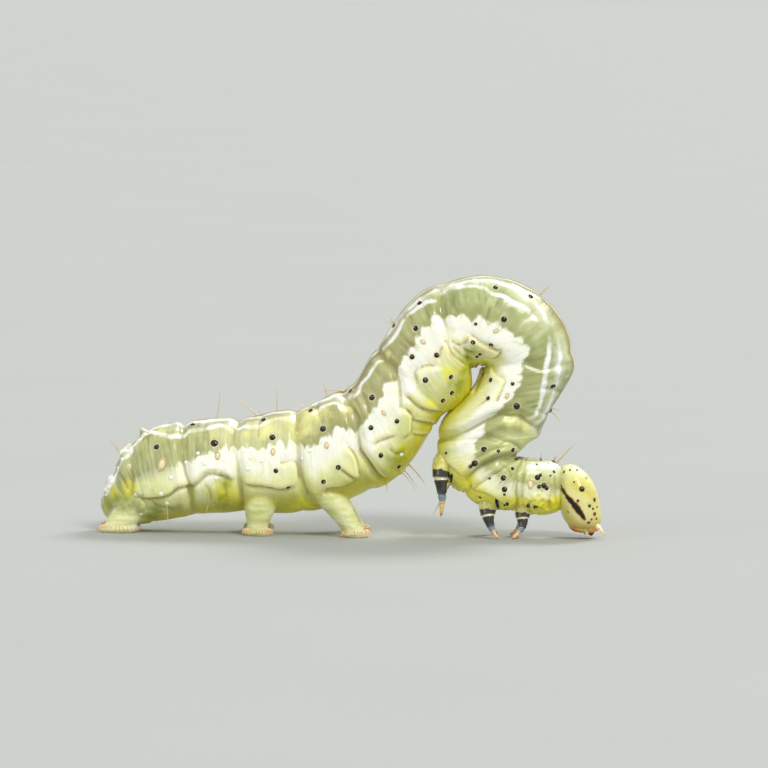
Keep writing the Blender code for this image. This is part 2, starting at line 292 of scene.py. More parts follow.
# Grooves right round the body where two segments meet: depth, half width, and the line.
GROOVES = (
    (0.14, 0.16, ((128, 446), (130, 458), (131, 474), (131, 494))),
    (0.12, 0.14, ((186, 414), (183, 430), (183, 450), (186, 470), (190, 484), (194, 511))),
    (0.14, 0.15, ((240, 413), (235, 427), (234, 439), (238, 457), (240, 476), (243, 500))),
    (0.14, 0.15, ((296.5, 404), (298.4, 437), (300.4, 466), (306.5, 486), (312.7, 494))),
    (0.15, 0.15, (
        (343.5, 388), (352, 404), (357.6, 427), (359.6, 441), (365.7, 453.5), (376, 468),
        (386, 476),
    )),
    (0.13, 0.13, ((377, 349), (385.8, 358), (395.6, 370), (400, 386), (401, 405))),
    (0.13, 0.16, ((442, 288), (441, 300), (442, 313), (446, 325), (449, 340))),
    (0.07, 0.12, ((569, 362), (556, 366), (543, 369), (532, 365), (522, 361))),
    (0.17, 0.15, (
        (542, 430), (533, 425), (527, 421), (519, 416), (508.5, 416), (502, 414.7), (490, 420),
        (470, 430), (452, 438), (441, 440.7),
    )),
    (0.20, 0.15, ((517.4, 456), (507, 458), (495, 461), (483, 467), (473, 474), (466, 481))),
    (0.12, 0.12, ((522, 461), (519, 470), (517.5, 481), (517, 494), (517, 507))),
)
# Fine pleats that gather where the body bends: depth, half width, and the line.
PLEATS = (
    (0.05, 0.07, ((345, 395), (354, 404), (362, 418))),
    (0.05, 0.07, ((352, 391), (360, 403), (367, 420))),
    (0.05, 0.07, ((360, 384), (366, 398), (369, 412))),
    (0.07, 0.07, ((482, 434), (492, 436.5), (502, 440), (509, 443.5))),
    (0.06, 0.06, ((483, 438), (494, 441), (505, 445))),
    (0.05, 0.06, ((398, 338), (403, 343), (409, 349))),
    (0.05, 0.06, ((402, 335), (408, 341), (415, 347))),
    (0.06, 0.08, ((508, 446), (494, 449), (482, 455), (470, 462))),
    (0.05, 0.07, ((512, 452), (500, 454), (488, 459))),
    (0.06, 0.08, ((524, 470), (523, 480), (522, 492), (521, 503))),
    (0.05, 0.08, ((562, 391), (551, 389), (538, 388))),
    (0.04, 0.07, ((551, 417), (542, 412), (530, 408))),
    (0.05, 0.08, ((480, 303), (479, 290), (481, 278))),
    (0.05, 0.08, ((522, 322), (534, 312), (545, 301))),
    (0.04, 0.08, ((150, 421), (148, 432), (147, 446))),
    (0.04, 0.08, ((206, 415), (204, 428), (204, 440))),
    (0.04, 0.08, ((262, 408), (259, 420), (258, 434))),
    (0.04, 0.08, ((316, 395), (319, 408), (324, 419))),
    (0.04, 0.08, ((402, 312), (409, 320), (417, 330))),
    (0.04, 0.08, ((420, 300), (426, 309), (430, 320))),
    (0.05, 0.06, ((556, 470), (555, 484), (556, 498), (558, 508))),
    (0.05, 0.06, ((551, 491), (549.5, 501), (551, 511))),
    (0.06, 0.06, ((450, 344), (461, 354), (473, 361))),
    (0.05, 0.06, ((447, 352), (455, 361), (464, 367))),
    (0.05, 0.06, ((455, 341), (464, 349), (476, 354))),
    (0.05, 0.06, ((478, 362), (480, 372), (476, 382))),
    (0.05, 0.06, ((506, 440), (516, 445), (524, 452))),
    (0.05, 0.06, ((500, 464), (508, 470), (512, 480))),
    (0.05, 0.06, ((388, 445), (396, 451), (404, 452))),
    (0.05, 0.06, ((310, 500), (322, 497), (334, 490))),
    (0.03, 0.07, ((222, 476), (226, 486), (226, 496))),
    (0.04, 0.06, ((150, 500), (160, 506), (172, 506))),
    (0.03, 0.07, ((204, 480), (210, 488), (212, 500))),
    (0.05, 0.06, ((118, 470), (124, 480), (128, 492))),
)
# Small blunt points on the back of the last segments: photo x, y, height and half width.
POINTED_BUMPS = (
    (137, 422, 0.24, 0.11), (129, 446, 0.09, 0.14), (122, 452, 0.07, 0.12), (116, 463, 0.08, 0.12),
    (110, 479, 0.08, 0.12), (106, 491, 0.09, 0.12), (100, 501, 0.34, 0.13),
)

# The soft skin under the neck and the thorax is crumpled: photo x, y and half width in pixels.
CRUMPLED = (
    (548, 506, 24), (524, 510, 16), (468, 492, 18), (448, 484, 14), (500, 510, 16), (560, 500, 16),
)

LOBE_RISE, CLEFT_DEPTH, GROOVE_LIP, CRUMPLE_HEIGHT, UNEVEN = 1.2, 0.7, 0.35, 0.17, 0.03

relief = np.zeros(len(near))
rim_gap, cleft_gap = np.full(len(near), FAR), np.full(len(near), FAR)
for lobe_side, height, reach, path in LOBES:
    gap, side, inner = distance_to(path)
    signed = gap * side * lobe_side
    fade = np.clip(inner / 0.12, 0, 1) ** 0.7
    rounded_edge = np.sqrt(np.clip(gap / 0.12, 0, 1))
    raised = LOBE_RISE * fade * height * np.exp(-gap / reach) * rounded_edge
    relief += np.where(signed > 0, raised, 0)
    relief -= CLEFT_DEPTH * fade * height * np.exp(-(((signed + 0.03) / 0.08) ** 2)) * (gap < 0.5)
    # rim_gap places a painted highlight along each lobe's edge, and cleft_gap places painted shade
    # in its cleft.
    rim_gap = np.minimum(rim_gap, np.abs(signed - 0.08) + 0.2 * (1 - fade))
    cleft_gap = np.minimum(cleft_gap, np.abs(signed + 0.02) + 0.2 * (1 - fade))
for x, y, height, half_width in POINTED_BUMPS:
    centre = np.array(on_skin(x, y)[0])
    relief += height * np.exp(-((np.linalg.norm(near - centre, axis=1) / half_width) ** 2))
groove_gap, pleat_gap = np.full(len(near), FAR), np.full(len(near), FAR)
for depth, half_width, path in GROOVES + PLEATS:
    gap, _, inner = distance_to(path)
    fade = np.clip(inner / 0.15, 0, 1) if depth < 0.1 else 0.4 + 0.6 * np.clip(inner / 0.2, 0, 1)
    relief -= fade * depth * np.exp(-((gap / half_width) ** 2))
    lip = np.exp(-(((gap - 2.2 * half_width) / half_width) ** 2))
    relief += fade * GROOVE_LIP * depth * lip
    if depth > 0.1:
        groove_gap = np.minimum(groove_gap, gap)
    else:
        pleat_gap = np.minimum(pleat_gap, gap + 0.1 * (1 - fade))
for x, y, half_width in CRUMPLED:
    centre, half_width = np.array(on_skin(x, y)[0]), half_width * PIXEL
    close = np.nonzero(np.linalg.norm(near - centre, axis=1) < 2 * half_width)[0]
    share = np.exp(-((np.linalg.norm(near[close] - centre, axis=1) / half_width) ** 2))
    crumple = np.array([noise.noise(Vector(spot) * 4.5) for spot in near[close]])
    relief[close] += CRUMPLE_HEIGHT * share * (0.25 - np.abs(crumple))
# Everywhere else the skin is faintly uneven.
relief += np.array([UNEVEN * noise.noise(Vector(spot) * 1.9) for spot in near])

relief = relief.reshape(SKIN_ROWS, SKIN_SIDES)
# The thorax and the tail end keep their own outline, so the relief eases out at both ends.
relief *= np.clip(np.minimum(s_rows, len(SWELLS) - s_rows) / 0.4, 0, 1)[:, None]
# The front end is drawn in where the neck slips into the head.
relief -= 0.05 * np.exp(-((s_rows / 0.10) ** 2))[:, None]
skin_grid = plain + grid_normals(plain) * relief[..., None]
relief_tree = BVHTree.FromPolygons(
    skin_grid.reshape(-1, 3).tolist(), plain_faces[: (SKIN_ROWS - 1) * SKIN_SIDES]
)


def on_relief(x, y):
    """The place on the finished skin's near side that shows at a pixel, and its normal."""
    return seen(relief_tree, x, y, on_skin(x, y)[0])[:2]


# Both ends are closed by a few smaller rings, pushed out along the way the body points there.
neck_way = np.array((math.cos(math.radians(-3)), 0, math.sin(math.radians(-3))))
tail_way = np.array((-0.85, 0, -0.53))
rounded = []
for reach, share in ((0.35, 0.5), (0.25, 0.8), (0.1, 0.95)):
    rounded.append(ends[0] + (skin_grid[0] - ends[0]) * share + neck_way * reach)
closing = []
for turn in (25, 50, 72):
    share, reach = math.cos(math.radians(turn)), 0.2 * math.sin(math.radians(turn))
    closing.append(ends[1] + (skin_grid[-1] - ends[1]) * share + tail_way * reach)
whole_grid = np.concatenate((np.array(rounded), skin_grid, np.array(closing)))
poles = np.stack((ends[0] + neck_way * 0.37, ends[1] + tail_way * 0.2))


def new_mesh(name, points, faces):
    """A smooth mesh object from points in millimetres."""
    mesh = bpy.data.meshes.new(name)
    mesh.from_pydata([tuple(p) for p in np.asarray(points) * MM], [], faces)
    mesh.shade_smooth()
    form = bmesh.new()
    form.from_mesh(mesh)
    bmesh.ops.recalc_face_normals(form, faces=form.faces)
    form.to_mesh(mesh)
    form.free()
    made = bpy.data.objects.new(name, mesh)
    bpy.context.scene.collection.objects.link(made)
    return made


skin = new_mesh(
    "skin",
    np.concatenate((whole_grid.reshape(-1, 3), poles)),
    grid_faces(len(whole_grid), SKIN_SIDES),
)

# Prolegs: path and half sizes (along X, along Y) from inside the body down to the sole.
PROLEGS = (
    (
        (-1.20, 0.78, 2.05, 0.66, 0.60),
        (-0.84, 0.92, 1.40, 0.66, 0.58),
        (-0.46, 0.98, 0.92, 0.53, 0.48),
        (-0.14, 1.00, 0.50, 0.42, 0.40),
        (0.04, 1.02, 0.24, 0.40, 0.38),
        (0.10, 1.02, 0.11, 0.47, 0.42),
        (0.13, 1.02, 0.00, 0.44, 0.36),
    ),
    (
        (-3.22, 0.78, 1.85, 0.68, 0.60),
        (-3.27, 0.92, 1.25, 0.66, 0.58),
        (-3.33, 0.98, 0.82, 0.53, 0.48),
        (-3.38, 1.00, 0.46, 0.40, 0.40),
        (-3.40, 1.02, 0.24, 0.39, 0.38),
        (-3.40, 1.02, 0.11, 0.48, 0.42),
        (-3.40, 1.02, 0.00, 0.45, 0.36),
    ),
    (
        (-7.75, 0.45, 1.45, 0.62, 0.52),
        (-7.88, 0.56, 1.00, 0.68, 0.52),
        (-8.10, 0.66, 0.60, 0.64, 0.47),
        (-8.30, 0.72, 0.30, 0.60, 0.42),
        (-8.38, 0.76, 0.12, 0.65, 0.43),
        (-8.42, 0.76, 0.00, 0.60, 0.36),
    ),
)
PROLEG_ROWS, PROLEG_SIDES = 46, 48


def proleg(path, side):
    """One proleg's flesh: ringed by soft creases above, with a puckered sole."""
    rings = eased(path, PROLEG_ROWS)
    rings[:, 2] = np.clip(rings[:, 2], 0, None)
    angle = np.arange(PROLEG_SIDES) * 2 * math.pi / PROLEG_SIDES
    points = []
    for n, (x, y, z, half_x, half_y) in enumerate(rings):
        creases = 0.016 * math.cos(z * 17 + x) * min(1, z / 0.3)
        creases = creases + 0.010 * np.sin(z * 31 + 2 * angle)
        pleats = 0.035 * np.cos(9 * angle + 3 * z) * max(0, 1 - z / 0.5)
        grow = 1 + creases + pleats
        out_x, out_y = half_x * grow * np.cos(angle), half_y * grow * np.sin(angle)
        points.append(np.stack((x + out_x, side * (y + out_y), angle * 0 + z), axis=-1))
    points = np.array(points)
    middles = np.stack((points[0].mean(axis=0), points[-1].mean(axis=0)))
    points = np.concatenate((points.reshape(-1, 3), middles))
    return new_mesh("proleg", points, grid_faces(PROLEG_ROWS, PROLEG_SIDES))


def keep_result(made):
    """Makes what an object's modifiers give its plain mesh, and drops them."""
    bpy.context.view_layer.update()
    shown = made.evaluated_get(bpy.context.evaluated_depsgraph_get())
    made.data = bpy.data.meshes.new_from_object(shown)
    made.modifiers.clear()


for path in PROLEGS:
    for side in (-1, 1):
        limb = proleg(path, side)
        join = skin.modifiers.new("flesh", "BOOLEAN")
        join.operation, join.solver, join.object = "UNION", "MANIFOLD", limb
        keep_result(skin)
        bpy.data.objects.remove(limb, do_unlink=True)
skin.data.shade_smooth()

# Where each point of the finished skin lies on the plain sweep, and how far the flesh is from it.
count = len(skin.data.vertices)
co = np.empty(count * 3)
skin.data.vertices.foreach_get("co", co)
co = co.reshape(-1, 3) / MM
place = np.zeros(count, int)
away = np.zeros(count)
for n, point in enumerate(co):
    _, _, face, gap = relief_tree.find_nearest(Vector(point))
    place[n], away[n] = face, gap
row, side = np.divmod(place, SKIN_SIDES)
corners = np.stack(
    [(row + r) * SKIN_SIDES + (side + c) % SKIN_SIDES for r in (0, 1) for c in (0, 1)], axis=1
)
reach = np.linalg.norm(skin_grid.reshape(-1, 3)[corners] - co[:, None], axis=2)
place = corners[np.arange(count), reach.argmin(axis=1)]

# The root of each proleg is smoothed into the body.
SMOOTH_RINGS, SMOOTH_ROUNDS = 3, 10
join_points = np.nonzero((away > 0.0005) & (away < 0.16))[0]
form = bmesh.new()
form.from_mesh(skin.data)
form.verts.ensure_lookup_table()
ring = set(join_points.tolist())
for _ in range(SMOOTH_RINGS):
    ring = {end.index for n in ring for edge in form.verts[n].link_edges for end in edge.verts}
soft = [form.verts[n] for n in ring if form.verts[n].co.z > 0.0003]
for _ in range(SMOOTH_ROUNDS):
    bmesh.ops.smooth_vert(
        form, verts=soft, factor=0.5, use_axis_x=True, use_axis_y=True, use_axis_z=True
    )
form.to_mesh(skin.data)
form.free()
skin.data.shade_smooth()

# Two white lines run along each side of the back, and the white fat body shows below them.
FAT_EDGE = (
    (180, 457), (188, 455), (195, 451), (201, 449), (213, 446), (223, 443), (238, 441), (246, 440),
    (259, 441.5), (266, 440), (280, 435), (290, 434), (311, 440), (321, 431), (333, 421),
    (341, 419), (357, 425), (364, 417.5), (371, 406), (380.4, 391), (386, 379), (398, 373),
    (399, 362), (404, 351), (412, 344.5), (416, 335), (425, 324), (434, 317), (441, 314.6),
    (456, 314.6), (480, 316), (497, 321), (513, 330), (520, 335), (527, 343), (529, 352),
    (524, 360), (524, 372.5), (522, 380), (512, 398), (500, 414), (478, 445), (480, 462),
    (497, 474), (509, 480), (524, 483), (538, 485), (552, 489),
)
LOWER_LINE = (
    (
        (135, 445), (147, 433.5), (157, 432), (171, 435), (190, 429), (211, 424), (221, 421),
        (233, 425),
    ),
    ((239, 422), (255, 421), (270, 415), (280, 412), (295, 413)),
    ((314, 407), (323, 401), (336, 398), (344, 404)),
    ((350, 391), (357, 390), (361, 379), (368, 373), (372, 366), (380, 357)),
    ((384, 346), (397, 331), (405, 317), (412, 311), (425, 302), (434, 300.6)),
    (
        (442, 292), (453, 288), (480, 286.5), (493, 294), (503, 296), (513, 302), (524, 307),
        (535, 319),
    ),
    ((549.6, 338), (549, 352), (546.5, 367), (545, 379), (541, 402), (536, 413.6), (530, 420)),
    ((133, 446), (126, 456), (119, 468), (113, 480), (108, 492)),
)
UPPER_LINE = (
    ((141, 424), (152, 422), (170, 424), (184, 421)),
    ((190, 420), (205, 418), (222, 415), (236, 417)),
    ((243, 415), (258, 412), (274, 407), (293, 406)),
    ((302, 402), (318, 396), (334, 391), (342, 392)),
    ((386, 334), (396, 321), (410, 306), (424, 296), (436, 290)),
    ((444, 288), (480, 280), (508, 286), (524, 296), (535, 303), (543.5, 313.6), (547, 321)),
    ((558, 340), (560, 352), (559, 367), (553, 394), (548, 407), (542, 417), (536, 425)),
    ((530.6, 467), (542, 466), (553.6, 467)),
    ((132, 438), (128, 445), (121, 455), (113, 470), (106, 488), (102, 499)),
)


def least_gap(paths):
    """How far each skin point is from the nearest of several measured lines."""
    gap = np.full(len(near), FAR)
    for path in paths:
        gap = np.minimum(gap, distance_to(path)[0])
    return gap


edge_rows, edge_angles = [], []
for x, y in FAT_EDGE:
    _, _, row, side_at = on_skin(x, y)
    angle = v_sides[side_at]
    edge_rows.append(s_rows[row])
    edge_angles.append(min(angle, 2 * math.pi - angle))
order = np.argsort(edge_rows)
edge_at = np.interp(s_rows, np.array(edge_rows)[order], np.array(edge_angles)[order])
half_angle = np.minimum(v_sides, 2 * math.pi - v_sides)
half_height = np.interp(s_rows, range(len(RINGS)), RINGS[:, 3] / 2)
fat_depth = (half_angle[None, :] - edge_at[:, None]) * half_height[:, None]

# The skin has a cream ring round each black dot: photo x, y and diameter, in pixels.
PINACULA = (
    (156.5, 446, 6), (214.4, 439, 8), (272.5, 431, 6.5), (323, 422.6, 6.5), (372, 393.5, 6.5),
    (415.7, 327.4, 6.5), (504, 319.3, 6.5), (516.7, 406.2, 7), (193, 421.6, 5.5),
    (263.7, 413.7, 5.5), (310.8, 404, 5.5), (350.6, 386, 5), (394, 323, 5.5), (495.6, 287.5, 5.5),
    (553, 386.4, 6), (419.5, 302, 5.5), (530.8, 296.3, 5.5), (550.7, 410.5, 5), (276, 464.5, 5),
    (288.4, 480.7, 5), (338.4, 461.8, 5.5), (323.6, 475.6, 5), (371, 423.7, 5.5), (397, 419, 5),
    (381, 452, 5.5), (399, 464.5, 5), (412, 355.5, 5.5), (436.6, 354.8, 5.5), (425.4, 379.3, 6),
    (451, 377, 5), (452, 393, 5), (443, 400.5, 5), (475.7, 324, 3.5), (473, 342.5, 5),
    (491, 345, 5), (480, 354.4, 4), (477, 356.7, 4), (512.6, 383.8, 4), (490.6, 380, 5),
    (483, 375, 4.5), (488, 398.3, 5), (483.9, 449.2, 6), (498.4, 451, 4), (513, 450, 5),
    (474.7, 463.4, 7), (470.5, 466.5, 4.5), (446, 453, 3.5), (432.6, 465.7, 3.5), (503.4, 477.9, 6),
    (504.5, 489.4, 6), (504.5, 494.5, 3), (489.6, 478.3, 3), (512.6, 468.4, 4), (516, 459.5, 5.5),
    (480, 497.2, 4), (537.5, 477.5, 6), (540.3, 475, 4), (539, 486.7, 5), (544, 485.6, 6),
    (546.7, 488, 5), (554, 471.8, 3.5), (550.5, 475.6, 2.5), (554.3, 462, 4), (541.3, 460, 3.5),
    (537, 464.5, 2.5), (554.3, 457, 3), (528.3, 505.5, 5), (535.6, 507, 5),
)
# Short black plates beside the roots of the true legs.
LEG_PLATES = (
    ((452, 475), (451, 482)), ((475, 506), (474, 513)), ((496.5, 501), (498, 508)),
    ((507, 502), (505, 506)), ((529, 511), (527, 515)),
)
# Where gut shows through it is dull olive, and where a fold is deep or the belly lies in shadow the
# same olive is painted shade: photo x, y, across.
OLIVE_AND_SHADE_PATCHES = (
    (116, 500, 24), (138, 506, 28), (156, 508, 28), (124, 514, 22), (172, 508, 18), (226, 478, 14),
    (396, 456, 26), (456, 385, 20), (463, 373, 13), (224, 500, 22), (108, 502, 16), (470, 352, 18),
    (463, 361, 14), (476, 366, 10), (511, 455, 12), (148, 516, 20),
)
# Painted glow: where nothing lies behind the thin stretched skin, it is painted bright and clear,
# as if lit through from behind.
PAINTED_GLOW_PATCHES = (
    (306, 412, 36), (318, 411, 22), (300, 428, 22), (268, 423, 22), (514, 420, 20), (527, 424, 16),
    (246, 428, 10), (349, 402, 12), (388, 352, 8), (212, 430, 10), (160, 430, 12),
)
# The underside of the neck and the thorax and the last segments' edges are a vivid yellow.
VIVID_PATCHES = (
    (540, 505, 26), (552, 506, 22), (524, 514, 16), (466, 492, 16), (448, 482, 14), (500, 510, 16),
    (556, 503, 22), (528, 513, 22), (129, 489, 15), (112, 494, 14), (226, 490, 26), (450, 374, 14),
    (464, 370, 16), (400, 450, 22), (430, 402, 14), (300, 500, 20),
)


near_relief = skin_grid.reshape(-1, 3).copy()
near_relief[:, 1] = -np.abs(near_relief[:, 1])
spot_gap = np.full(len(near), FAR)
for x, y, across in PINACULA:
    centre = np.array(on_relief(x, y)[0])
    gap = np.linalg.norm(near_relief - centre, axis=1) - across * PIXEL / 2
    spot_gap = np.minimum(spot_gap, gap)


def patch_gap(patches):
    """How far each skin point is from the nearest patch, as a share of its half width."""
    gap = np.full(len(near), FAR)
    for x, y, across in patches:
        centre = np.array(on_skin(x, y)[0])
        gap = np.minimum(gap, np.linalg.norm(near - centre, axis=1) / (across * PIXEL / 2))
    return gap


def keep_values(made, name, values):
    """Stores one number for each point of an object's mesh, for its material to read."""
    layer = made.data.attributes.new(name, "FLOAT", "POINT")
    layer.data.foreach_set("value", np.asarray(values, dtype=np.float32))


skin_values = {
    "fat_depth": fat_depth.ravel(),
    "line_gap": least_gap(LOWER_LINE),
    "upper_gap": least_gap(UPPER_LINE),
    "rim_gap": rim_gap,
    "cleft_gap": cleft_gap,
    "groove_gap": groove_gap,
    "pleat_gap": pleat_gap,
    "spot_gap": spot_gap,
    "plate_gap": least_gap(LEG_PLATES),
    "glow_gap": patch_gap(PAINTED_GLOW_PATCHES),
    "murk_gap": patch_gap(OLIVE_AND_SHADE_PATCHES),
    "vivid_gap": patch_gap(VIVID_PATCHES),
    "round": np.repeat(half_angle[None, :] / math.pi, SKIN_ROWS, axis=0).ravel(),
    "along": np.repeat(s_rows[:, None], SKIN_SIDES, axis=1).ravel(),
}
for name, values in skin_values.items():
    keep_values(skin, name, values[place])
keep_values(skin, "limb", away)


def linear(*colour):
    """An sRGB colour, 0 to 255, as Blender's scene-linear colour."""
    shares = (c / 255 for c in colour)
    return (*(s / 12.92 if s <= 0.04 else ((s + 0.055) / 1.055) ** 2.4 for s in shares), 1)


class Finish:
    """A material with a Principled shader, built node by node."""

    def __init__(self, name, roughness, **constants):
        self.material = bpy.data.materials.new(name)
        self.material.use_nodes = True
        self.tree = self.material.node_tree
        self.shader = self.tree.nodes["Principled BSDF"]
        self.shader.inputs["Roughness"].default_value = roughness
        for key, value in constants.items():
            self.shader.inputs[key.replace("_", " ")].default_value = value
        self.object_place = self.tree.nodes.new("ShaderNodeTexCoord").outputs["Object"]

    def node(self, kind, output, links=(), **inputs):
        """A new node with its numbers set and its sockets linked; gives back one output."""
        node = self.tree.nodes.new(kind)
        for key, value in inputs.items():
            node.inputs[key.replace("_", " ")].default_value = value
        for key, source in links:
            self.tree.links.new(source, node.inputs[key])
        return node.outputs[output]

    def value(self, name):
        """A number stored on the mesh."""
        node = self.tree.nodes.new("ShaderNodeAttribute")
        node.attribute_name = name
        return node.outputs["Fac"]

    def noise(self, scale, detail=3.0, roughness=0.5, stretch=None):
        """Cloudy noise through the whole piece, drawn out along an axis if a stretch is given."""
        place = self.object_place
        if stretch:
            place = self.node("ShaderNodeMapping", "Vector", [("Vector", place)], Scale=stretch)
        return self.node(
            "ShaderNodeTexNoise", "Fac", [("Vector", place)],
            Scale=scale, Detail=detail, Roughness=roughness,
        )

    def unrolled(self, along, across, fine_along, fine_across):
        """Places on the surface's own two directions, each as fine as asked."""
        links = [("X", self.times(along, fine_along)), ("Y", self.times(across, fine_across))]
        return self.node("ShaderNodeCombineXYZ", "Vector", links)

    def surface_noise(self, *layout):
        """Noise laid out on the unrolled surface."""
        links = [("Vector", self.unrolled(*layout))]
        return self.node("ShaderNodeTexNoise", "Fac", links, Scale=1, Detail=3)

    def cells(self, *layout):
        """How far each place of the unrolled surface is from the nearest of scattered points."""
        place = self.unrolled(*layout)
        node = self.tree.nodes.new("ShaderNodeTexVoronoi")
        node.voronoi_dimensions = "2D"
        node.inputs["Scale"].default_value = 1
        self.tree.links.new(place, node.inputs["Vector"])
        return node.outputs["Distance"]

    def ramp(self, source, low, high, start=0.0, end=1.0):
        """start where the source is at low, end at high, eased between them."""
        node = self.tree.nodes.new("ShaderNodeMapRange")
        node.interpolation_type = "SMOOTHSTEP"
        limits = {"From Min": low, "From Max": high, "To Min": start, "To Max": end}
        for key, value in limits.items():
            node.inputs[key].default_value = value
        self.tree.links.new(source, node.inputs["Value"])
        return node.outputs["Result"]

    def maths(self, operation, first, second=0.0):
        """One sum done with two numbers, each a bare one or another node's output."""
        node = self.tree.nodes.new("ShaderNodeMath")
        node.operation = operation
        for socket, part in zip(node.inputs, (first, second)):
            if isinstance(part, (int, float)):
                socket.default_value = part
            else:
                self.tree.links.new(part, socket)
        return node.outputs["Value"]

    def plus(self, first, second):
        return self.maths("ADD", first, second)

    def less(self, first, second):
        return self.maths("SUBTRACT", first, second)

    def times(self, first, second):
        return self.maths("MULTIPLY", first, second)

    def mix(self, share, below, above):
        """The colour above laid over the one below by a share; each is sRGB or an output."""
        node = self.tree.nodes.new("ShaderNodeMix")
        node.data_type = "RGBA"
        for socket, part in (("Factor", share), ("A", below), ("B", above)):
            target = next(i for i in node.inputs if i.name == socket and i.enabled)
            if isinstance(part, tuple):
                target.default_value = linear(*part)
            else:
                self.tree.links.new(part, target)
        return next(o for o in node.outputs if o.enabled)

    def base(self, share, first, second):
        """Starts the surface's colour as a mix of two."""
        self.tone = self.mix(share, first, second)
        self.tree.links.new(self.tone, self.shader.inputs["Base Color"])

    def over(self, share, colour):
        """Lays one more colour over the surface by a share."""
        self.base(share, self.tone, colour)

    def shade(self, colour, source, low, high, start=1.0, end=0.0):
        """Lays a colour over the surface, by a share of start at low and end at high."""
        self.over(self.ramp(source, low, high, start, end), colour)

    def bump(self, height, strength, distance):
        """Fine relief that only the light shows."""
        lifted = self.node(
            "ShaderNodeBump", "Normal", [("Height", height)], Strength=strength, Distance=distance
        )
        self.tree.links.new(lifted, self.shader.inputs["Normal"])


flesh = Finish(
    "moist larval skin",
    0.30,
    Subsurface_Weight=0.40,
    Subsurface_Scale=0.0005,
    IOR=1.4,
    Specular_IOR_Level=0.5,
    Coat_Weight=0.25,
    Coat_Roughness=0.12,
)
flesh.shader.inputs["Subsurface Radius"].default_value = (1.0, 0.95, 0.45)
mottle = flesh.noise(700, 4)
fine = flesh.noise(3200, 3)
cloud = flesh.less(flesh.noise(2600, 2), 0.5)
around, along_body, fat_depth_at = (flesh.value(key) for key in ("round", "along", "fat_depth"))
# Streaks run down from the back, where the skin gathers round the body.
streaks = flesh.surface_noise(along_body, around, 4, 3)
fine_streaks = flesh.surface_noise(along_body, around, 15, 4)
wobble = flesh.less(flesh.noise(1500, 3, 0.65), 0.5)
flesh.base(flesh.ramp(mottle, 0.35, 0.65), (158, 166, 108), (190, 196, 136))
flesh.shade((170, 162, 104), flesh.noise(330, 2), 0.48, 0.66, 0, 0.55)
flesh.shade((220, 224, 182), fine_streaks, 0.48, 0.72, 0, 0.5)
flesh.shade((122, 120, 68), fine_streaks, 0.30, 0.45, 0.55)
flesh.shade((226, 228, 156), along_body, 2.5, 3.4, 0.6)
# The rising middle of the body is browner, and the back behind it is pale.
rising = flesh.times(flesh.ramp(along_body, 5.2, 6.0), flesh.ramp(along_body, 7.6, 8.2, 0.45, 0))
flesh.over(rising, (184, 172, 120))
pale_back = flesh.times(flesh.ramp(along_body, 7.8, 8.4), flesh.ramp(along_body, 9.2, 9.8, 0.4, 0))
flesh.over(pale_back, (244, 238, 186))
# A dark vessel runs under the middle of the back between two thin broken white lines.
frayed = flesh.plus(around, flesh.times(wobble, 0.05))
flesh.shade((134, 120, 52), frayed, 0.10, 0.18, 0.85)
heart_edge = flesh.maths("ABSOLUTE", flesh.less(frayed, 0.058))
flesh.shade((240, 238, 206), heart_edge, 0.008, 0.02, 0.85)
flesh.shade((128, 132, 66), around, 0.015, 0.04, 0.75)
# White clusters of fat stand in rounded columns below the back, and thin out down the sides.
columns = flesh.cells(along_body, around, 9, 7)
columns = flesh.less(flesh.maths("POWER", columns, 1.6), 0.25)
columns = flesh.times(columns, flesh.ramp(along_body, 10.0, 10.8, 1, 0.3))
fat_at = flesh.less(fat_depth_at, flesh.times(columns, 0.30))
fat_at = flesh.plus(fat_at, flesh.times(cloud, 0.30))
fat_at = flesh.plus(fat_at, flesh.times(wobble, 0.25))
# Just above its edge the gut's shadow darkens the clear skin.
shadow = flesh.times(flesh.ramp(fat_at, -0.5, -0.08), flesh.ramp(along_body, 7.4, 8.2, 0.35, 0.12))
flesh.over(shadow, (142, 142, 84))
lobe_tone = flesh.mix(flesh.ramp(mottle, 0.3, 0.7), (216, 219, 134), (236, 236, 178))
lobe_tone = flesh.mix(flesh.ramp(fine_streaks, 0.5, 0.75, 0, 0.5), lobe_tone, (250, 249, 216))
lobe_tone = flesh.mix(flesh.ramp(fat_depth_at, 1.2, 2.2), lobe_tone, (202, 198, 76))
flesh.shade(lobe_tone, fat_at, 0.02, 0.35, 0, 1)
flesh.shade((230, 221, 66), around, 0.76, 0.94, 0, 1)
fat = flesh.times(flesh.ramp(fat_at, -0.04, 0.10), flesh.ramp(fat_at, 0.45, 1.25, 1, 0))
grains = flesh.cells(along_body, around, 16, 22)
fat = flesh.times(fat, flesh.ramp(grains, 0.5, 0.8, 1, 0.65))
fat = flesh.times(fat, flesh.ramp(along_body, 9.9, 10.6, 1, 0.2))
fat = flesh.times(fat, flesh.ramp(along_body, 2.2, 3.0, 0.55, 1))
flesh.over(fat, (255, 255, 238))
thorax = flesh.times(flesh.ramp(along_body, 2.2, 2.9, 1, 0), flesh.ramp(frayed, 0.56, 0.68))
flesh.over(thorax, (246, 237, 88))
line_at = flesh.plus(flesh.value("line_gap"), flesh.times(wobble, 0.26))
upper_at = flesh.plus(flesh.value("upper_gap"), flesh.times(wobble, 0.34))
broken = flesh.ramp(flesh.noise(1300, 3), 0.38, 0.56, 0.35, 1)
frost = flesh.times(flesh.ramp(flesh.value("upper_gap"), 0.1, 0.5, 0.45, 0), broken)
flesh.over(frost, (240, 243, 230))
line = flesh.times(flesh.ramp(line_at, 0.03, 0.15, 1, 0), broken)
flesh.over(line, (254, 255, 249))
line = flesh.times(flesh.ramp(upper_at, 0.04, 0.17, 1, 0), broken)
flesh.over(line, (254, 255, 249))
ragged = flesh.times(flesh.plus(cloud, wobble), 2.2)
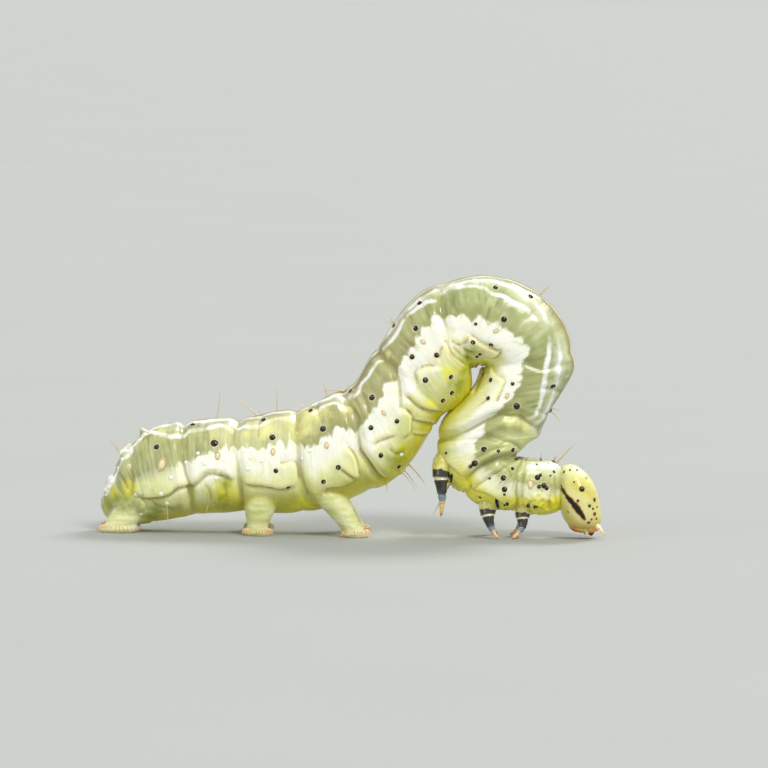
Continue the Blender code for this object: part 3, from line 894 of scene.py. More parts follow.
glow_at, olive_and_shade_at, vivid_at = (
    flesh.plus(flesh.value(name), ragged) for name in ("glow_gap", "murk_gap", "vivid_gap")
)
# Painted glow of light shining through the thin skin, on the patches listed above.
flesh.shade((246, 243, 160), glow_at, -0.2, 1.6, 0.7)
flesh.shade((248, 240, 58), vivid_at, 0.0, 1.6, 0.85)
# Dull olive of the gut, and painted shade in deep folds and under the belly.
flesh.shade((148, 156, 26), olive_and_shade_at, -0.2, 1.6, 0.8)
limb = flesh.value("limb")
wrinkles = flesh.noise(1500, 4, 0.6, (0.5, 0.5, 2.2))
limb_tone = flesh.mix(flesh.ramp(wrinkles, 0.35, 0.65), (208, 212, 134), (238, 238, 196))
flesh.shade(limb_tone, limb, 0.02, 0.20, 0, 1)
edge_noise = flesh.times(cloud, 0.06)
rim_highlight_at = flesh.plus(flesh.value("rim_gap"), edge_noise)
cleft_at = flesh.plus(flesh.value("cleft_gap"), edge_noise)
# Painted highlight: a bright cream line along each lobe's free edge.
flesh.shade((255, 246, 176), rim_highlight_at, 0.02, 0.10, 0.85)
# Painted shade in the clefts below the lobes' edges.
cleft = flesh.ramp(cleft_at, 0.01, 0.08, 0.8, 0)
cleft = flesh.times(cleft, flesh.ramp(mottle, 0.35, 0.65, 0.4, 0.9))
flesh.over(cleft, (172, 146, 56))
# Painted shade in the grooves between segments.
crease = flesh.ramp(flesh.value("groove_gap"), 0.02, 0.10, 1, 0)
crease = flesh.times(crease, flesh.ramp(streaks, 0.35, 0.6, 0.2, 0.65))
flesh.over(crease, (166, 154, 84))
# Painted shade in the fine pleats.
flesh.shade((148, 124, 62), flesh.value("pleat_gap"), 0.01, 0.07, 0.32)
flesh.shade((250, 246, 208), flesh.value("spot_gap"), 0.01, 0.06, 0.42)
flesh.shade((14, 12, 8), flesh.value("plate_gap"), 0.045, 0.075)
relief_height = flesh.plus(mottle, flesh.times(fine, 0.35))
relief_height = flesh.plus(relief_height, flesh.times(fine_streaks, 0.8))
limb_folds = flesh.times(wrinkles, flesh.ramp(limb, 0.02, 0.2, 0, 1.5))
relief_height = flesh.plus(relief_height, limb_folds)
flesh.bump(relief_height, 0.5, 0.00007)
flesh.tree.links.new(flesh.ramp(mottle, 0.3, 0.7, 0.22, 0.42), flesh.shader.inputs["Roughness"])
skin.data.materials.clear()
skin.data.materials.append(flesh.material)
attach(skin, "root")
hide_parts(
    "prothorax", "mesothorax", "metathorax",
    *(f"abdomen_{n}" for n in range(1, 11)),
    *(
        f"{limb}_{side}"
        for limb in ("proleg_5", "proleg_6", "anal_proleg")
        for side in ("left", "right")
    ),
)

# The dark dots are pinacula: hard, shining black buttons of chitin, each the socket of one
# bristle. They are let into the skin in rows on every segment, alike on both sides.


def points_object(name, points, values=(), edges=()):
    """Bare points in millimetres that carry named values for a node tree to read."""
    mesh = bpy.data.meshes.new(name)
    mesh.from_pydata([tuple(c * MM for c in p) for p in points], list(edges), [])
    for key, kind, held in values:
        layer = mesh.attributes.new(key, kind, "POINT")
        slot = "vector" if kind == "FLOAT_VECTOR" else "value"
        layer.data.foreach_set(slot, np.ravel(held).astype(np.float32))
    made = bpy.data.objects.new(name, mesh)
    bpy.context.scene.collection.objects.link(made)
    return made


def new_tree(name, **sizes):
    """An empty node tree with geometry in and out and named number inputs."""
    tree = bpy.data.node_groups.new(name, "GeometryNodeTree")
    tree.interface.new_socket("Geometry", in_out="INPUT", socket_type="NodeSocketGeometry")
    tree.interface.new_socket("Geometry", in_out="OUTPUT", socket_type="NodeSocketGeometry")
    tree.interface.new_socket("Finish", in_out="INPUT", socket_type="NodeSocketMaterial")
    for key, value in sizes.items():
        kind = "NodeSocketInt" if isinstance(value, int) else "NodeSocketFloat"
        socket = tree.interface.new_socket(key.replace("_", " "), in_out="INPUT", socket_type=kind)
        socket.default_value = value
    return tree, tree.nodes.new("NodeGroupInput"), tree.nodes.new("NodeGroupOutput")


def grown(made, tree, finish, **sizes):
    """Runs a node tree on an object, then keeps the result as its plain mesh."""
    run = made.modifiers.new(tree.name, "NODES")
    run.node_group = tree
    for item in tree.interface.items_tree:
        if item.in_out != "INPUT":
            continue
        if item.name == "Finish":
            run[item.identifier] = finish
        elif item.name.replace(" ", "_") in sizes:
            run[item.identifier] = sizes[item.name.replace(" ", "_")]
    keep_result(made)
    made.data.shade_smooth()
    return made


def wire(tree, *pairs):
    """Links each output to the input beside it."""
    for source, target in pairs:
        tree.links.new(source, target)


def named_value(tree, key, kind):
    """The output of a node that reads a value stored on the points."""
    node = tree.nodes.new("GeometryNodeInputNamedAttribute")
    node.data_type = kind
    node.inputs["Name"].default_value = key
    return next(o for o in node.outputs if o.enabled)


button_tree, into, out = new_tree("buttons in the skin", Height=0.5, Sides=10, Rings=6)
ball = button_tree.nodes.new("GeometryNodeMeshUVSphere")
flat = button_tree.nodes.new("GeometryNodeTransform")
stretch = button_tree.nodes.new("ShaderNodeCombineXYZ")
turn = button_tree.nodes.new("FunctionNodeAlignRotationToVector")
each = button_tree.nodes.new("GeometryNodeInstanceOnPoints")
real = button_tree.nodes.new("GeometryNodeRealizeInstances")
paint = button_tree.nodes.new("GeometryNodeSetMaterial")
turn.axis = "Z"
ball.inputs["Radius"].default_value = 1
stretch.inputs["X"].default_value = stretch.inputs["Y"].default_value = 1
wire(
    button_tree,
    (into.outputs["Sides"], ball.inputs["Segments"]),
    (into.outputs["Rings"], ball.inputs["Rings"]),
    (into.outputs["Height"], stretch.inputs["Z"]),
    (stretch.outputs["Vector"], flat.inputs["Scale"]),
    (ball.outputs["Mesh"], flat.inputs["Geometry"]),
    (into.outputs["Geometry"], each.inputs["Points"]),
    (flat.outputs["Geometry"], each.inputs["Instance"]),
    (named_value(button_tree, "facing", "FLOAT_VECTOR"), turn.inputs["Vector"]),
    (turn.outputs["Rotation"], each.inputs["Rotation"]),
    (named_value(button_tree, "size", "FLOAT"), each.inputs["Scale"]),
    (each.outputs["Instances"], real.inputs["Geometry"]),
    (real.outputs["Geometry"], paint.inputs["Geometry"]),
    (into.outputs["Finish"], paint.inputs["Material"]),
    (paint.outputs["Geometry"], out.inputs["Geometry"]),
)


def buttons(name, dots, find, finish, height):
    """Low domes on both sides, where the finder puts each dot of the photograph."""
    points, facings, sizes = [], [], []
    for x, y, across in dots:
        point, facing = find(x, y)
        for side in (1, -1):
            points.append((point[0], side * point[1], point[2]))
            facings.append((facing[0], side * facing[1], facing[2]))
            sizes.append(across * PIXEL / 2 * MM)
    values = (("facing", "FLOAT_VECTOR", facings), ("size", "FLOAT", sizes))
    made = points_object(name, points, values)
    return grown(made, button_tree, finish.material, Height=height)


shining_black = Finish("shining black sclerite", 0.14, IOR=1.5)
shining_black.base(shining_black.noise(9000, 2), (8, 7, 6), (44, 36, 22))
shining_black.bump(shining_black.noise(12000, 2), 0.3, 0.00002)
pinacula = buttons("pinacula", PINACULA, on_relief, shining_black, 0.45)
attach(pinacula, "root")

# Granules are small raised beads of the skin itself, clear and without pigment. They stand
# scattered on the sides of the rear segments and along the edge of the last ones.
PALE_DOTS = (
    (171, 476, 5), (161, 493, 5), (136, 495, 5), (141, 514, 4), (167, 502, 4), (205, 460, 4.5),
    (216, 474, 4.5), (218.6, 468, 4), (248, 463, 4.5), (401.5, 452, 5), (127, 451, 4),
    (122, 459, 4),
    (118, 468, 4.5), (113, 478, 4), (109, 487, 4), (106, 495, 3.5), (198, 450, 4), (262, 455, 4),
    (302, 452, 4), (310, 444, 4.5), (250, 452, 3.5), (186, 460, 4),
)
pearl = Finish("pearly granule", 0.25)
pearl.base(pearl.noise(6000), (250, 247, 224), (255, 254, 246))
granules = buttons("granules", PALE_DOTS, on_relief, pearl, 0.4)
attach(granules, "root")

# Setae are fine stiff bristles of amber chitin, one from the socket in each pinaculum, and
# tapering to a point. Stout ones stand up from the back, and a fine one leaves every socket.
# Photo x, y of the root and of the tip for those whose reach shows in outline.
SEEN_SETAE = (
    (217, 412, 220, 386), (257, 408, 232, 391), (276.6, 403, 276, 381), (303.7, 400.6, 295, 396),
    (326.6, 390, 323, 376), (343.5, 386, 322, 385), (369, 391, 355, 383), (394, 323, 386, 320),
    (540, 295, 551, 285), (550.7, 411, 560, 422), (558, 460, 575, 444), (119, 454, 108, 439),
    (208.6, 500, 203.6, 515), (166.6, 502, 167.5, 527), (400, 468, 418, 492), (413, 467, 425, 484),
    (385, 476, 387, 492), (488, 399, 474, 409), (436, 500, 433, 515), (582, 489, 592, 484),
)
SETA_LENGTH, SETA_BEND = 0.50, 0.048
STOUT_ROOT, FINE_ROOT = 0.024, 0.013
bristle_tree, into, out = new_tree("tapering bristles", Root=0.00001, Sides=5)
path = bristle_tree.nodes.new("GeometryNodeMeshToCurve")
share = bristle_tree.nodes.new("GeometryNodeSplineParameter")
taper = bristle_tree.nodes.new("ShaderNodeMapRange")
profile = bristle_tree.nodes.new("GeometryNodeCurvePrimitiveCircle")
sweep = bristle_tree.nodes.new("GeometryNodeCurveToMesh")
real = bristle_tree.nodes.new("GeometryNodeRealizeInstances")
paint = bristle_tree.nodes.new("GeometryNodeSetMaterial")
profile.inputs["Radius"].default_value = 1
taper.inputs["To Max"].default_value = 0.000002
sweep.inputs["Fill Caps"].default_value = True
wire(
    bristle_tree,
    (into.outputs["Geometry"], path.inputs["Mesh"]),
    (share.outputs["Factor"], taper.inputs["Value"]),
    (into.outputs["Root"], taper.inputs["To Min"]),
    (taper.outputs["Result"], sweep.inputs["Scale"]),
    (path.outputs["Curve"], sweep.inputs["Curve"]),
    (into.outputs["Sides"], profile.inputs["Resolution"]),
    (profile.outputs["Curve"], sweep.inputs["Profile Curve"]),
    (sweep.outputs["Mesh"], real.inputs["Geometry"]),
    (real.outputs["Geometry"], paint.inputs["Geometry"]),
    (into.outputs["Finish"], paint.inputs["Material"]),
    (paint.outputs["Geometry"], out.inputs["Geometry"]),
)


def both_sides(root, tip, bend):
    """One bristle's root, tip and sideways bend, and its mirror image's."""
    flips = (Vector((1, 1, 1)), Vector((1, -1, 1)))
    return [(root * flip, tip * flip, bend * flip) for flip in flips]


def bristles(name, strokes, finish, thickness, steps=6):
    """Tapering bristles along bent strokes, thickness being a root's radius in millimetres."""
    points, edges = [], []
    for root, tip, bend in strokes:
        for k in range(steps + 1):
            t = k / steps
            if k:
                edges.append((len(points) - 1, len(points)))
            points.append(root + (tip - root) * t + bend * 4 * t * (1 - t))
    made = points_object(name, points, edges=edges)
    return grown(made, bristle_tree, finish.material, Root=thickness * MM)


chance = random.Random(11)
amber = Finish("amber bristle", 0.3)
amber.base(amber.noise(4000), (190, 150, 92), (236, 214, 168))
strokes = []
for x, y, tip_x, tip_y in SEEN_SETAE:
    root = on_relief(x, y)[0]
    start, direction, _ = ray_to(tip_x, tip_y)
    tip = start + direction * ((root.y - start.y) / direction.y)
    strokes += both_sides(root, tip, Vector((0.02, 0, 0.03)))
stout_setae = bristles("stout_setae", strokes, amber, STOUT_ROOT)
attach(stout_setae, "root")
strokes = []
for x, y, across in PINACULA:
    root, facing = on_relief(x, y)
    way = Vector((chance.uniform(-0.5, 0.5), 0, chance.uniform(-0.3, 0.5)))
    length = SETA_LENGTH * chance.uniform(0.6, 1.1) * min(1, across / 6)
    tip = root + (facing + way * 0.7).normalized() * length
    strokes += both_sides(root, tip, Vector((0, 0, SETA_BEND)))
fine_setae = bristles("fine_setae", strokes, amber, FINE_ROOT)
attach(fine_setae, "root")

# Crochets are the tiny amber hooks of hard chitin with which the prolegs grip. They grow out of
# the flesh in a ring round each sole, long and short ones by turns, with their points down.
SOLES = (  # middle, half sizes, how many hooks
    ((0.11, 1.02), (0.45, 0.42), 52),
    ((-3.40, 1.02), (0.46, 0.42), 52),
    ((-8.40, 0.76), (0.64, 0.42), 56),
)
strokes = []
for (x, y), (half_x, half_y), hooks in SOLES:
    for k in range(hooks):
        turn = 2 * math.pi * (k + chance.uniform(-0.25, 0.25)) / hooks
        out_way = Vector((math.cos(turn), math.sin(turn), 0))
        high = 0.25 if k % 2 else 0.15
        root = Vector((x + half_x * 0.9 * out_way.x, y + half_y * 0.9 * out_way.y, high))
        tip = root + out_way * chance.uniform(0.06, 0.16) + Vector((0, 0, 0.025 - high))
        strokes += both_sides(root, tip, out_way * 0.06 + Vector((0, 0, 0.03)))
hook_amber = Finish("amber hook", 0.25)
hook_amber.base(hook_amber.noise(5000), (232, 168, 88), (255, 242, 208))
crochets = bristles("crochets", strokes, hook_amber, 0.024, steps=5)
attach(crochets, "root")

# Spiracles are the breathing holes: an oval rim of tan chitin round a paler sieve, let into the
# skin on each side of the first thoracic segment and of abdominal segments 1 to 8.
# Photo x, y, width, height and turn in degrees.
SPIRACLES = (
    (530.5, 484.3, 5.5, 8.5, 0), (161.8, 463, 7, 12, 8), (217.7, 451.4, 4.5, 7.5, 5),
    (273, 445.6, 4, 6.5, 0), (326.6, 439.4, 3.8, 6.2, -10), (384, 410, 3.4, 5.6, -35),
    (423, 341, 3.4, 5.6, -50), (496, 331, 3.4, 5.6, 60), (507, 396, 3.4, 5.6, 20),
)
RIM_SIDES, TUBE_SIDES = 28, 8
# The sieve is a low lens inside the rim: each ring's share of the way out, and its height.
SIEVE_RINGS = ((0.25, 0.026), (0.6, 0.020), (0.92, 0.0), (0.5, -0.03))
points, faces, sieve = [], [], []
for x, y, wide, tall, turn in SPIRACLES:
    centre, facing = on_relief(x, y)
    for side in (1, -1):
        flip = Vector((1, side, 1))
        out_way = (facing * flip).normalized()
        up = Vector((math.sin(math.radians(turn)), 0, math.cos(math.radians(turn))))
        up = (up - out_way * up.dot(out_way)).normalized()
        across = up.cross(out_way)
        spokes = [
            (across * math.cos(a) * wide + up * math.sin(a) * tall) * PIXEL / 2
            for a in (2 * math.pi * k / RIM_SIDES for k in range(RIM_SIDES))
        ]
        base = len(points)
        for spoke in spokes:
            for n in range(TUBE_SIDES):
                b = 2 * math.pi * n / TUBE_SIDES
                reach = spoke * (1 + 0.16 * math.cos(b))
                points.append(centre * flip + reach + out_way * 0.025 * math.sin(b))
                sieve.append(0.0)
        for k in range(RIM_SIDES):
            for n in range(TUBE_SIDES):
                a, b = k * TUBE_SIDES, (k + 1) % RIM_SIDES * TUBE_SIDES
                m = (n + 1) % TUBE_SIDES
                faces.append((base + a + n, base + a + m, base + b + m, base + b + n))
        base = len(points)
        for wide_at, high_at in SIEVE_RINGS:
            points += [centre * flip + spoke * wide_at + out_way * high_at for spoke in spokes]
        points += [centre * flip + out_way * 0.028, centre * flip - out_way * 0.04]
        sieve += [1.0] * (len(SIEVE_RINGS) * RIM_SIDES + 2)
        lens_faces = grid_faces(len(SIEVE_RINGS), RIM_SIDES)
        faces += [tuple(base + n for n in face) for face in lens_faces]
spiracle_rims = new_mesh("spiracle_rims", points, faces)
keep_values(spiracle_rims, "sieve", sieve)
tan = Finish("tan spiracle rim", 0.3)
rim_tone = tan.mix(tan.noise(7000), (206, 170, 112), (232, 208, 158))
tan.base(tan.value("sieve"), rim_tone, (240, 226, 182))
spiracle_rims.data.materials.append(tan.material)
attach(spiracle_rims, "root")

# The true legs are jointed tubes of black chitin: a broad coxa, two shorter joints and a slim,
# see-through tarsus that ends in one hooked claw. Pale membrane holds joint to joint, and the
# coxa to the thorax.
# Path and radius from inside the thorax to the claw's root, then the claw's tip.
LEGS = {
    "leg_1": (
        (6.15, 0.34, 1.50, 0.30), (6.14, 0.46, 1.02, 0.30), (6.12, 0.54, 0.78, 0.24),
        (6.13, 0.62, 0.56, 0.17), (6.08, 0.69, 0.38, 0.13), (5.98, 0.74, 0.24, 0.085),
        (5.88, 0.77, 0.13, 0.062), (5.79, 0.785, 0.062, 0.05), (5.71, 0.79, 0.018, 0.012),
    ),
    "leg_2": (
        (4.90, 0.42, 1.70, 0.33), (4.87, 0.58, 1.14, 0.33), (4.87, 0.68, 0.88, 0.26),
        (4.92, 0.76, 0.63, 0.18), (5.00, 0.82, 0.42, 0.135), (5.08, 0.87, 0.26, 0.088),
        (5.16, 0.90, 0.14, 0.064), (5.22, 0.915, 0.064, 0.05), (5.28, 0.92, 0.018, 0.012),
    ),
    "leg_3": (
        (3.42, 0.50, 2.95, 0.36), (3.23, 0.66, 2.55, 0.38), (3.17, 0.76, 2.22, 0.31),
        (3.18, 0.81, 1.88, 0.21), (3.21, 0.82, 1.55, 0.16), (3.22, 0.81, 1.29, 0.11),
        (3.21, 0.79, 1.07, 0.082), (3.20, 0.77, 0.90, 0.06), (3.17, 0.75, 0.75, 0.012),
    ),
}
LEG_ROWS, LEG_SIDES = 110, 28
LEFT_AND_RIGHT = ((1, "left"), (-1, "right"))
# Each joint: where it comes along the leg, how far it is drawn in, and how wide its membrane is.
LEG_JOINTS = ((0.285, 0.18, 0.016), (0.49, 0.16, 0.004), (0.66, 0.22, 0.005))
leg_black = Finish("black leg chitin", 0.10, IOR=1.55, Specular_IOR_Level=0.7, Coat_Weight=0.6)
speck = leg_black.noise(6000, 3)
uneven = leg_black.times(leg_black.less(speck, 0.5), 0.10)
tone = leg_black.plus(leg_black.value("tone"), uneven)
coxa = leg_black.mix(leg_black.ramp(speck, 0.4, 0.6), (206, 196, 92), (232, 224, 136))
leg_black.base(leg_black.ramp(speck, 0.35, 0.75), (9, 8, 6), (50, 44, 22))
leg_black.shade(coxa, tone, 0.180, 0.195)
leg_black.shade((132, 142, 160), tone, 0.44, 0.53, 0, 1)
leg_black.shade((236, 198, 138), tone, 0.56, 0.64, 0, 1)
leg_black.shade((220, 122, 74), tone, 0.84, 0.91, 0, 1)
leg_black.shade((236, 206, 196), tone, 0.93, 0.98, 0, 1)
leg_black.over(leg_black.value("joint"), (248, 243, 206))
leg_black.bump(speck, 0.2, 0.00002)


def jointed(name, path, side, joints):
    """A jointed tube through a path of points and radii, with its place along it as a value."""
    rows = eased(path, LEG_ROWS)
    centres = rows[:, :3] * np.array((1, side, 1))
    radius = rows[:, 3]
    along = np.gradient(centres, axis=0)
    along /= np.linalg.norm(along, axis=1, keepdims=True)
    forward = np.array((1.0, 0, 0)) - along * along[:, :1]
    forward /= np.linalg.norm(forward, axis=1, keepdims=True)
    outward = np.cross(along, forward)
    share = np.linspace(0, 1, LEG_ROWS)
    joint = np.zeros(LEG_ROWS)
    for at, drawn_in, membrane in joints:
        radius = radius * (1 - drawn_in * np.exp(-(((share - at) / 0.012) ** 2)))
        radius = radius * (1 + 0.05 * np.exp(-(((share - at + 0.032) / 0.018) ** 2)))
        joint = np.maximum(joint, np.exp(-(((share - at) / membrane) ** 4)) * (membrane > 0.005))
    angle = np.arange(LEG_SIDES) * 2 * math.pi / LEG_SIDES
    ahead, beside = np.cos(angle)[None, :, None], np.sin(angle)[None, :, None]
    spokes = forward[:, None] * ahead + outward[:, None] * beside
    points = centres[:, None] + radius[:, None, None] * spokes
    tips = np.stack((centres[0], centres[-1] + along[-1] * 0.01))
    points = np.concatenate((points.reshape(-1, 3), tips))
    made = new_mesh(name, points, grid_faces(LEG_ROWS, LEG_SIDES))
    for key, values in (("tone", share), ("joint", joint)):
        keep_values(made, key, np.concatenate((np.repeat(values, LEG_SIDES), values[[0, -1]])))
    return made


for name, path in LEGS.items():
    for side, side_name in LEFT_AND_RIGHT:
        piece = jointed(f"true_{name}_{side_name}", path, side, LEG_JOINTS)
        piece.data.materials.append(leg_black.material)
        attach(piece, "root")
        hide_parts(f"{name}_{side_name}")

# The head is a hard, hollow capsule of thin yellow chitin: two round cheeks meet along the crown,
# and a three-cornered plate, the frons, is let in between them above the mouth. The capsule's
# rear edge laps over the soft neck.
HEAD_MIDDLE = Vector((8.2, 0, 1.46))
HEAD_ROWS, HEAD_SIDES = 84, 128
# The frons: half width, where its point lies between crown and mouth, and how deep it is set.
FRONS_HALF, FRONS_TOP, FRONS_DEPTH = 0.42, 0.36, 0.03
SEAM_DEPTH, SEAM_HALF = 0.035, 0.05
# Its outline from crown to mouth: front x and y, rear x and y in the photograph, and half width.
HEAD_CONTOUR = (
    (571.5, 463.8, 566.5, 464.2, 0.22), (578, 466.3, 561.5, 467, 0.52),
    (585, 471.6, 559.5, 472, 0.76), (591, 478.5, 558.5, 480, 0.94), (595.4, 487, 558.2, 489, 1.04),
    (598.4, 497, 558.6, 499, 1.06), (600.6, 507, 560, 508, 1.00), (601.8, 515, 562, 515.5, 0.92),
    (601.4, 521.5, 565, 521, 0.80), (599, 526.5, 569.5, 525.5, 0.62),
    (593, 529.5, 576, 528.6, 0.34),
)
# The black cheek stripe: photo x, y and half width in pixels.
HEAD_STRIPE = (
    (558.8, 484.6, 0.8), (561, 487.6, 1.6), (563.2, 490.6, 1.7), (565.6, 494.2, 0.5),
    (567.4, 497, 1.5), (570, 500, 2.0), (573, 503.6, 1.6), (576, 507, 2.4), (579, 511, 2.3),
    (582, 515, 1.5), (584.6, 519.2, 0.6),
)


def in_middle_plane(x, y):
    """Where the line of sight through a pixel crosses the plane between left and right."""
    start, direction, _ = ray_to(x, y)
    return start - direction * (start.y / direction.y)


points, suture = [], []
rows = eased(HEAD_CONTOUR, HEAD_ROWS)
for n, (front_x, front_y, rear_x, rear_y, half_width) in enumerate(rows):
    front, rear = in_middle_plane(front_x, front_y), in_middle_plane(rear_x, rear_y)
    middle, reach = (front + rear) / 2, (front - rear) / 2
    down = n / (HEAD_ROWS - 1)
    for k in range(HEAD_SIDES):
        turn = 2 * math.pi * k / HEAD_SIDES
        # The face is round, and the rear edge, which laps over the neck, is blunt.
        power = 0.92 if math.cos(turn) > 0 else 0.60
        ahead = math.copysign(abs(math.cos(turn)) ** power, math.cos(turn))
        y = half_width * math.copysign(abs(math.sin(turn)) ** 0.95, math.sin(turn))
        # The frons narrows upwards to a point where the two cheeks' seam begins.
        frons_edge = FRONS_HALF * max(0.0, min(1.0, (down - FRONS_TOP) / 0.5))
        seam = abs(y) - frons_edge
        seam = seam if math.cos(turn) > 0 or down < 0.16 else FAR
        sunk = SEAM_DEPTH * math.exp(-((seam / SEAM_HALF) ** 2))
        if down > 0.40 and abs(y) < frons_edge and math.cos(turn) > 0:
            sunk += FRONS_DEPTH
        crown = max(0.0, 1 - down / 0.25)
        sunk += crown * 0.09 * math.exp(-((y / 0.2) ** 2))
        spot = middle + reach * ahead + Vector((0, y, 0))
        spot -= (spot - HEAD_MIDDLE).normalized() * sunk
        points.append(tuple(spot))
        suture.append(seam)
first, last = points[:HEAD_SIDES], points[-HEAD_SIDES:]
points.append(tuple(np.mean(first, axis=0) + (0, 0, 0.008)))
points.append(tuple(np.mean(last, axis=0) - (0, 0, 0.03)))
suture += [0.0, FAR]
head = new_mesh("head_capsule", points, grid_faces(HEAD_ROWS, HEAD_SIDES))
head_points = np.array(points)
head_tree = BVHTree.FromPolygons(points, grid_faces(HEAD_ROWS, HEAD_SIDES))


def on_head(x, y):
    """The place on the head's near side that shows at a pixel, and its normal."""
    point, facing = seen(head_tree, x, y)[:2]
    return point, facing if (point - HEAD_MIDDLE).dot(facing) > 0 else -facing


stripe = [(np.array(on_head(x, y)[0]), half * PIXEL) for x, y, half in HEAD_STRIPE]
near_head = head_points.copy()
near_head[:, 1] = -np.abs(near_head[:, 1])
stripe_gap = np.full(len(near_head), FAR)
for (a, half_a), (b, half_b) in zip(stripe, stripe[1:]):
    share = np.clip((near_head - a) @ (b - a) / ((b - a) @ (b - a)), 0, 1)
    gap = np.linalg.norm(near_head - a - share[:, None] * (b - a), axis=1)
    stripe_gap = np.minimum(stripe_gap, gap - half_a - (half_b - half_a) * share)
height_on_head = (head_points[:, 2] - 0.2) / 2.5
for key, values in (("suture", suture), ("stripe", stripe_gap), ("height", height_on_head)):
    keep_values(head, key, values)
horn = Finish("yellow head chitin", 0.22, Subsurface_Weight=0.25, Subsurface_Scale=0.0004, IOR=1.5)
patch = horn.noise(1600, 3)
grain = horn.noise(8000, 2)
horn.base(horn.ramp(patch, 0.35, 0.65), (216, 206, 104), (230, 223, 142))
horn.shade((206, 186, 84), horn.noise(4200, 3), 0.55, 0.72, 0, 0.45)
# Painted light: the capsule is painted lighter towards its top, where the light falls on it.
horn.shade((238, 237, 190), horn.value("height"), 0.72, 1.0, 0, 1)
horn.shade((228, 178, 62), horn.value("height"), 0.0, 0.3)
from_seam = horn.maths("ABSOLUTE", horn.value("suture"))
horn.shade((160, 118, 48), from_seam, 0.005, 0.05, 0.8)
horn.shade((243, 238, 186), horn.value("stripe"), 0.10, 0.45, 0.45)
ragged = horn.times(horn.less(horn.noise(5000, 2), 0.5), 0.10)
stripe_at = horn.plus(horn.value("stripe"), ragged)
horn.shade((166, 104, 34), stripe_at, 0.02, 0.07, 0.9)
horn.shade((14, 11, 8), stripe_at, -0.005, 0.022)
horn.bump(horn.plus(grain, horn.noise(2200, 4)), 0.4, 0.00004)
head.data.materials.append(horn.material)
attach(head, "root")
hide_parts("head")

# Black bristle sockets stand on the capsule, as on the skin, and low on each cheek are six small
# eyes, the stemmata: clear domes of chitin, all but one of them set in a curve round the jaw.
# Photo x, y and diameter, in pixels.
HEAD_DOTS = (
    (582, 489, 6), (594.5, 499.7, 4.5), (578, 500.8, 3), (577, 470, 3), (570, 470, 2.5),
    (564, 472, 3), (588.8, 522.6, 3.5), (586, 478, 2), (568, 512, 2), (574, 482, 2),
    (597, 507, 2.5),
)
STEMMATA = (
    (589.6, 505.8, 3.8), (593, 508.6, 3), (594.6, 513.8, 4.2), (596.4, 518.6, 2.8),
    (591.6, 519.4, 2.6),
    (588.9, 522.6, 3.4),
)
head_buttons = buttons("head_buttons", HEAD_DOTS, on_head, shining_black, 0.45)
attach(head_buttons, "root")
eye_glass = Finish("dark clear eye lens", 0.06, IOR=1.5, Coat_Weight=0.6)
eye_glass.base(eye_glass.noise(9000), (58, 34, 16), (98, 62, 30))
stemmata = buttons("stemmata", STEMMATA, on_head, eye_glass, 0.7)
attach(stemmata, "root")

# The head's setae are short, fine bristles of the same amber chitin, one from each black socket,
# most of them bent forward over the face.
HEAD_ROOT = 0.011
strokes = []
for x, y, _ in HEAD_DOTS:
    root, facing = on_head(x, y)
    way = Vector((0.4 + chance.uniform(-0.2, 0.3), 0, chance.uniform(-0.4, 0.3)))
    tip = root + (facing + way).normalized() * chance.uniform(0.22, 0.42)
    strokes += both_sides(root, tip, Vector((0, 0, 0.03)))
head_setae = bristles("head_setae", strokes, amber, HEAD_ROOT)
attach(head_setae, "root")

# The mouthparts, of amber chitin, hang under the capsule: a notched upper lip, two dark-edged
# jaws that close sideways, and the lower lip with its silk spout, with feelers at the sides.
MOUTHPARTS = (  # name, middle, half sizes, lean in degrees, whether there is one on each side
    ("clypeus", (8.78, 0.00, 0.64), (0.15, 0.34, 0.20), 14, False),
    ("labrum", (8.76, 0.00, 0.44), (0.12, 0.30, 0.20), 16, False),
    ("mandible", (8.58, 0.22, 0.38), (0.21, 0.22, 0.24), 10, True),
    ("maxilla", (8.22, 0.31, 0.42), (0.24, 0.19, 0.19), -18, True),
    ("labium", (8.06, 0.00, 0.44), (0.30, 0.26, 0.20), -26, False),
)
mouth = Finish("amber mouthpart chitin", 0.22, Subsurface_Weight=0.3, Subsurface_Scale=0.0003)
drift = mouth.noise(2600, 3)
mouth.base(mouth.ramp(drift, 0.35, 0.7), (236, 182, 72), (246, 216, 132))
mouth.shade((216, 132, 44), mouth.value("edge"), 0.1, 0.4, 0, 1)
mouth.shade((70, 32, 14), mouth.value("edge"), 0.45, 0.75, 0, 1)
mouth.bump(drift, 0.2, 0.00003)
# Feelers and palps: path and radius from root to tip.
FEELERS = (
    (
        "antenna",
        (
            (8.76, 0.44, 0.55, 0.10), (8.86, 0.48, 0.45, 0.08), (8.95, 0.50, 0.35, 0.055),
            (9.03, 0.52, 0.25, 0.038), (9.11, 0.53, 0.15, 0.012),
        ),
    ),
    (
        "palp",
        (
            (8.34, 0.36, 0.44, 0.09), (8.40, 0.39, 0.34, 0.07), (8.45, 0.40, 0.26, 0.045),
            (8.49, 0.40, 0.19, 0.028), (8.52, 0.40, 0.13, 0.010),
        ),
    ),
    (
        "spinneret",
        (
            (8.24, 0.00, 0.36, 0.09), (8.31, 0.00, 0.28, 0.06), (8.36, 0.00, 0.22, 0.04),
            (8.40, 0.00, 0.16, 0.022), (8.42, 0.00, 0.12, 0.008),
        ),
    ),
)
feeler_horn = Finish("clear yellow feeler", 0.2, Subsurface_Weight=0.3, Subsurface_Scale=0.0002)
feeler_horn.base(feeler_horn.noise(6000), (246, 232, 176), (254, 248, 222))
feeler_horn.shade((228, 184, 112), feeler_horn.value("tone"), 0.5, 1.0, 0, 1)
feeler_horn.over(feeler_horn.value("joint"), (160, 96, 40))
FEELER_JOINTS = ((0.35, 0.2, 0.012), (0.62, 0.2, 0.012))
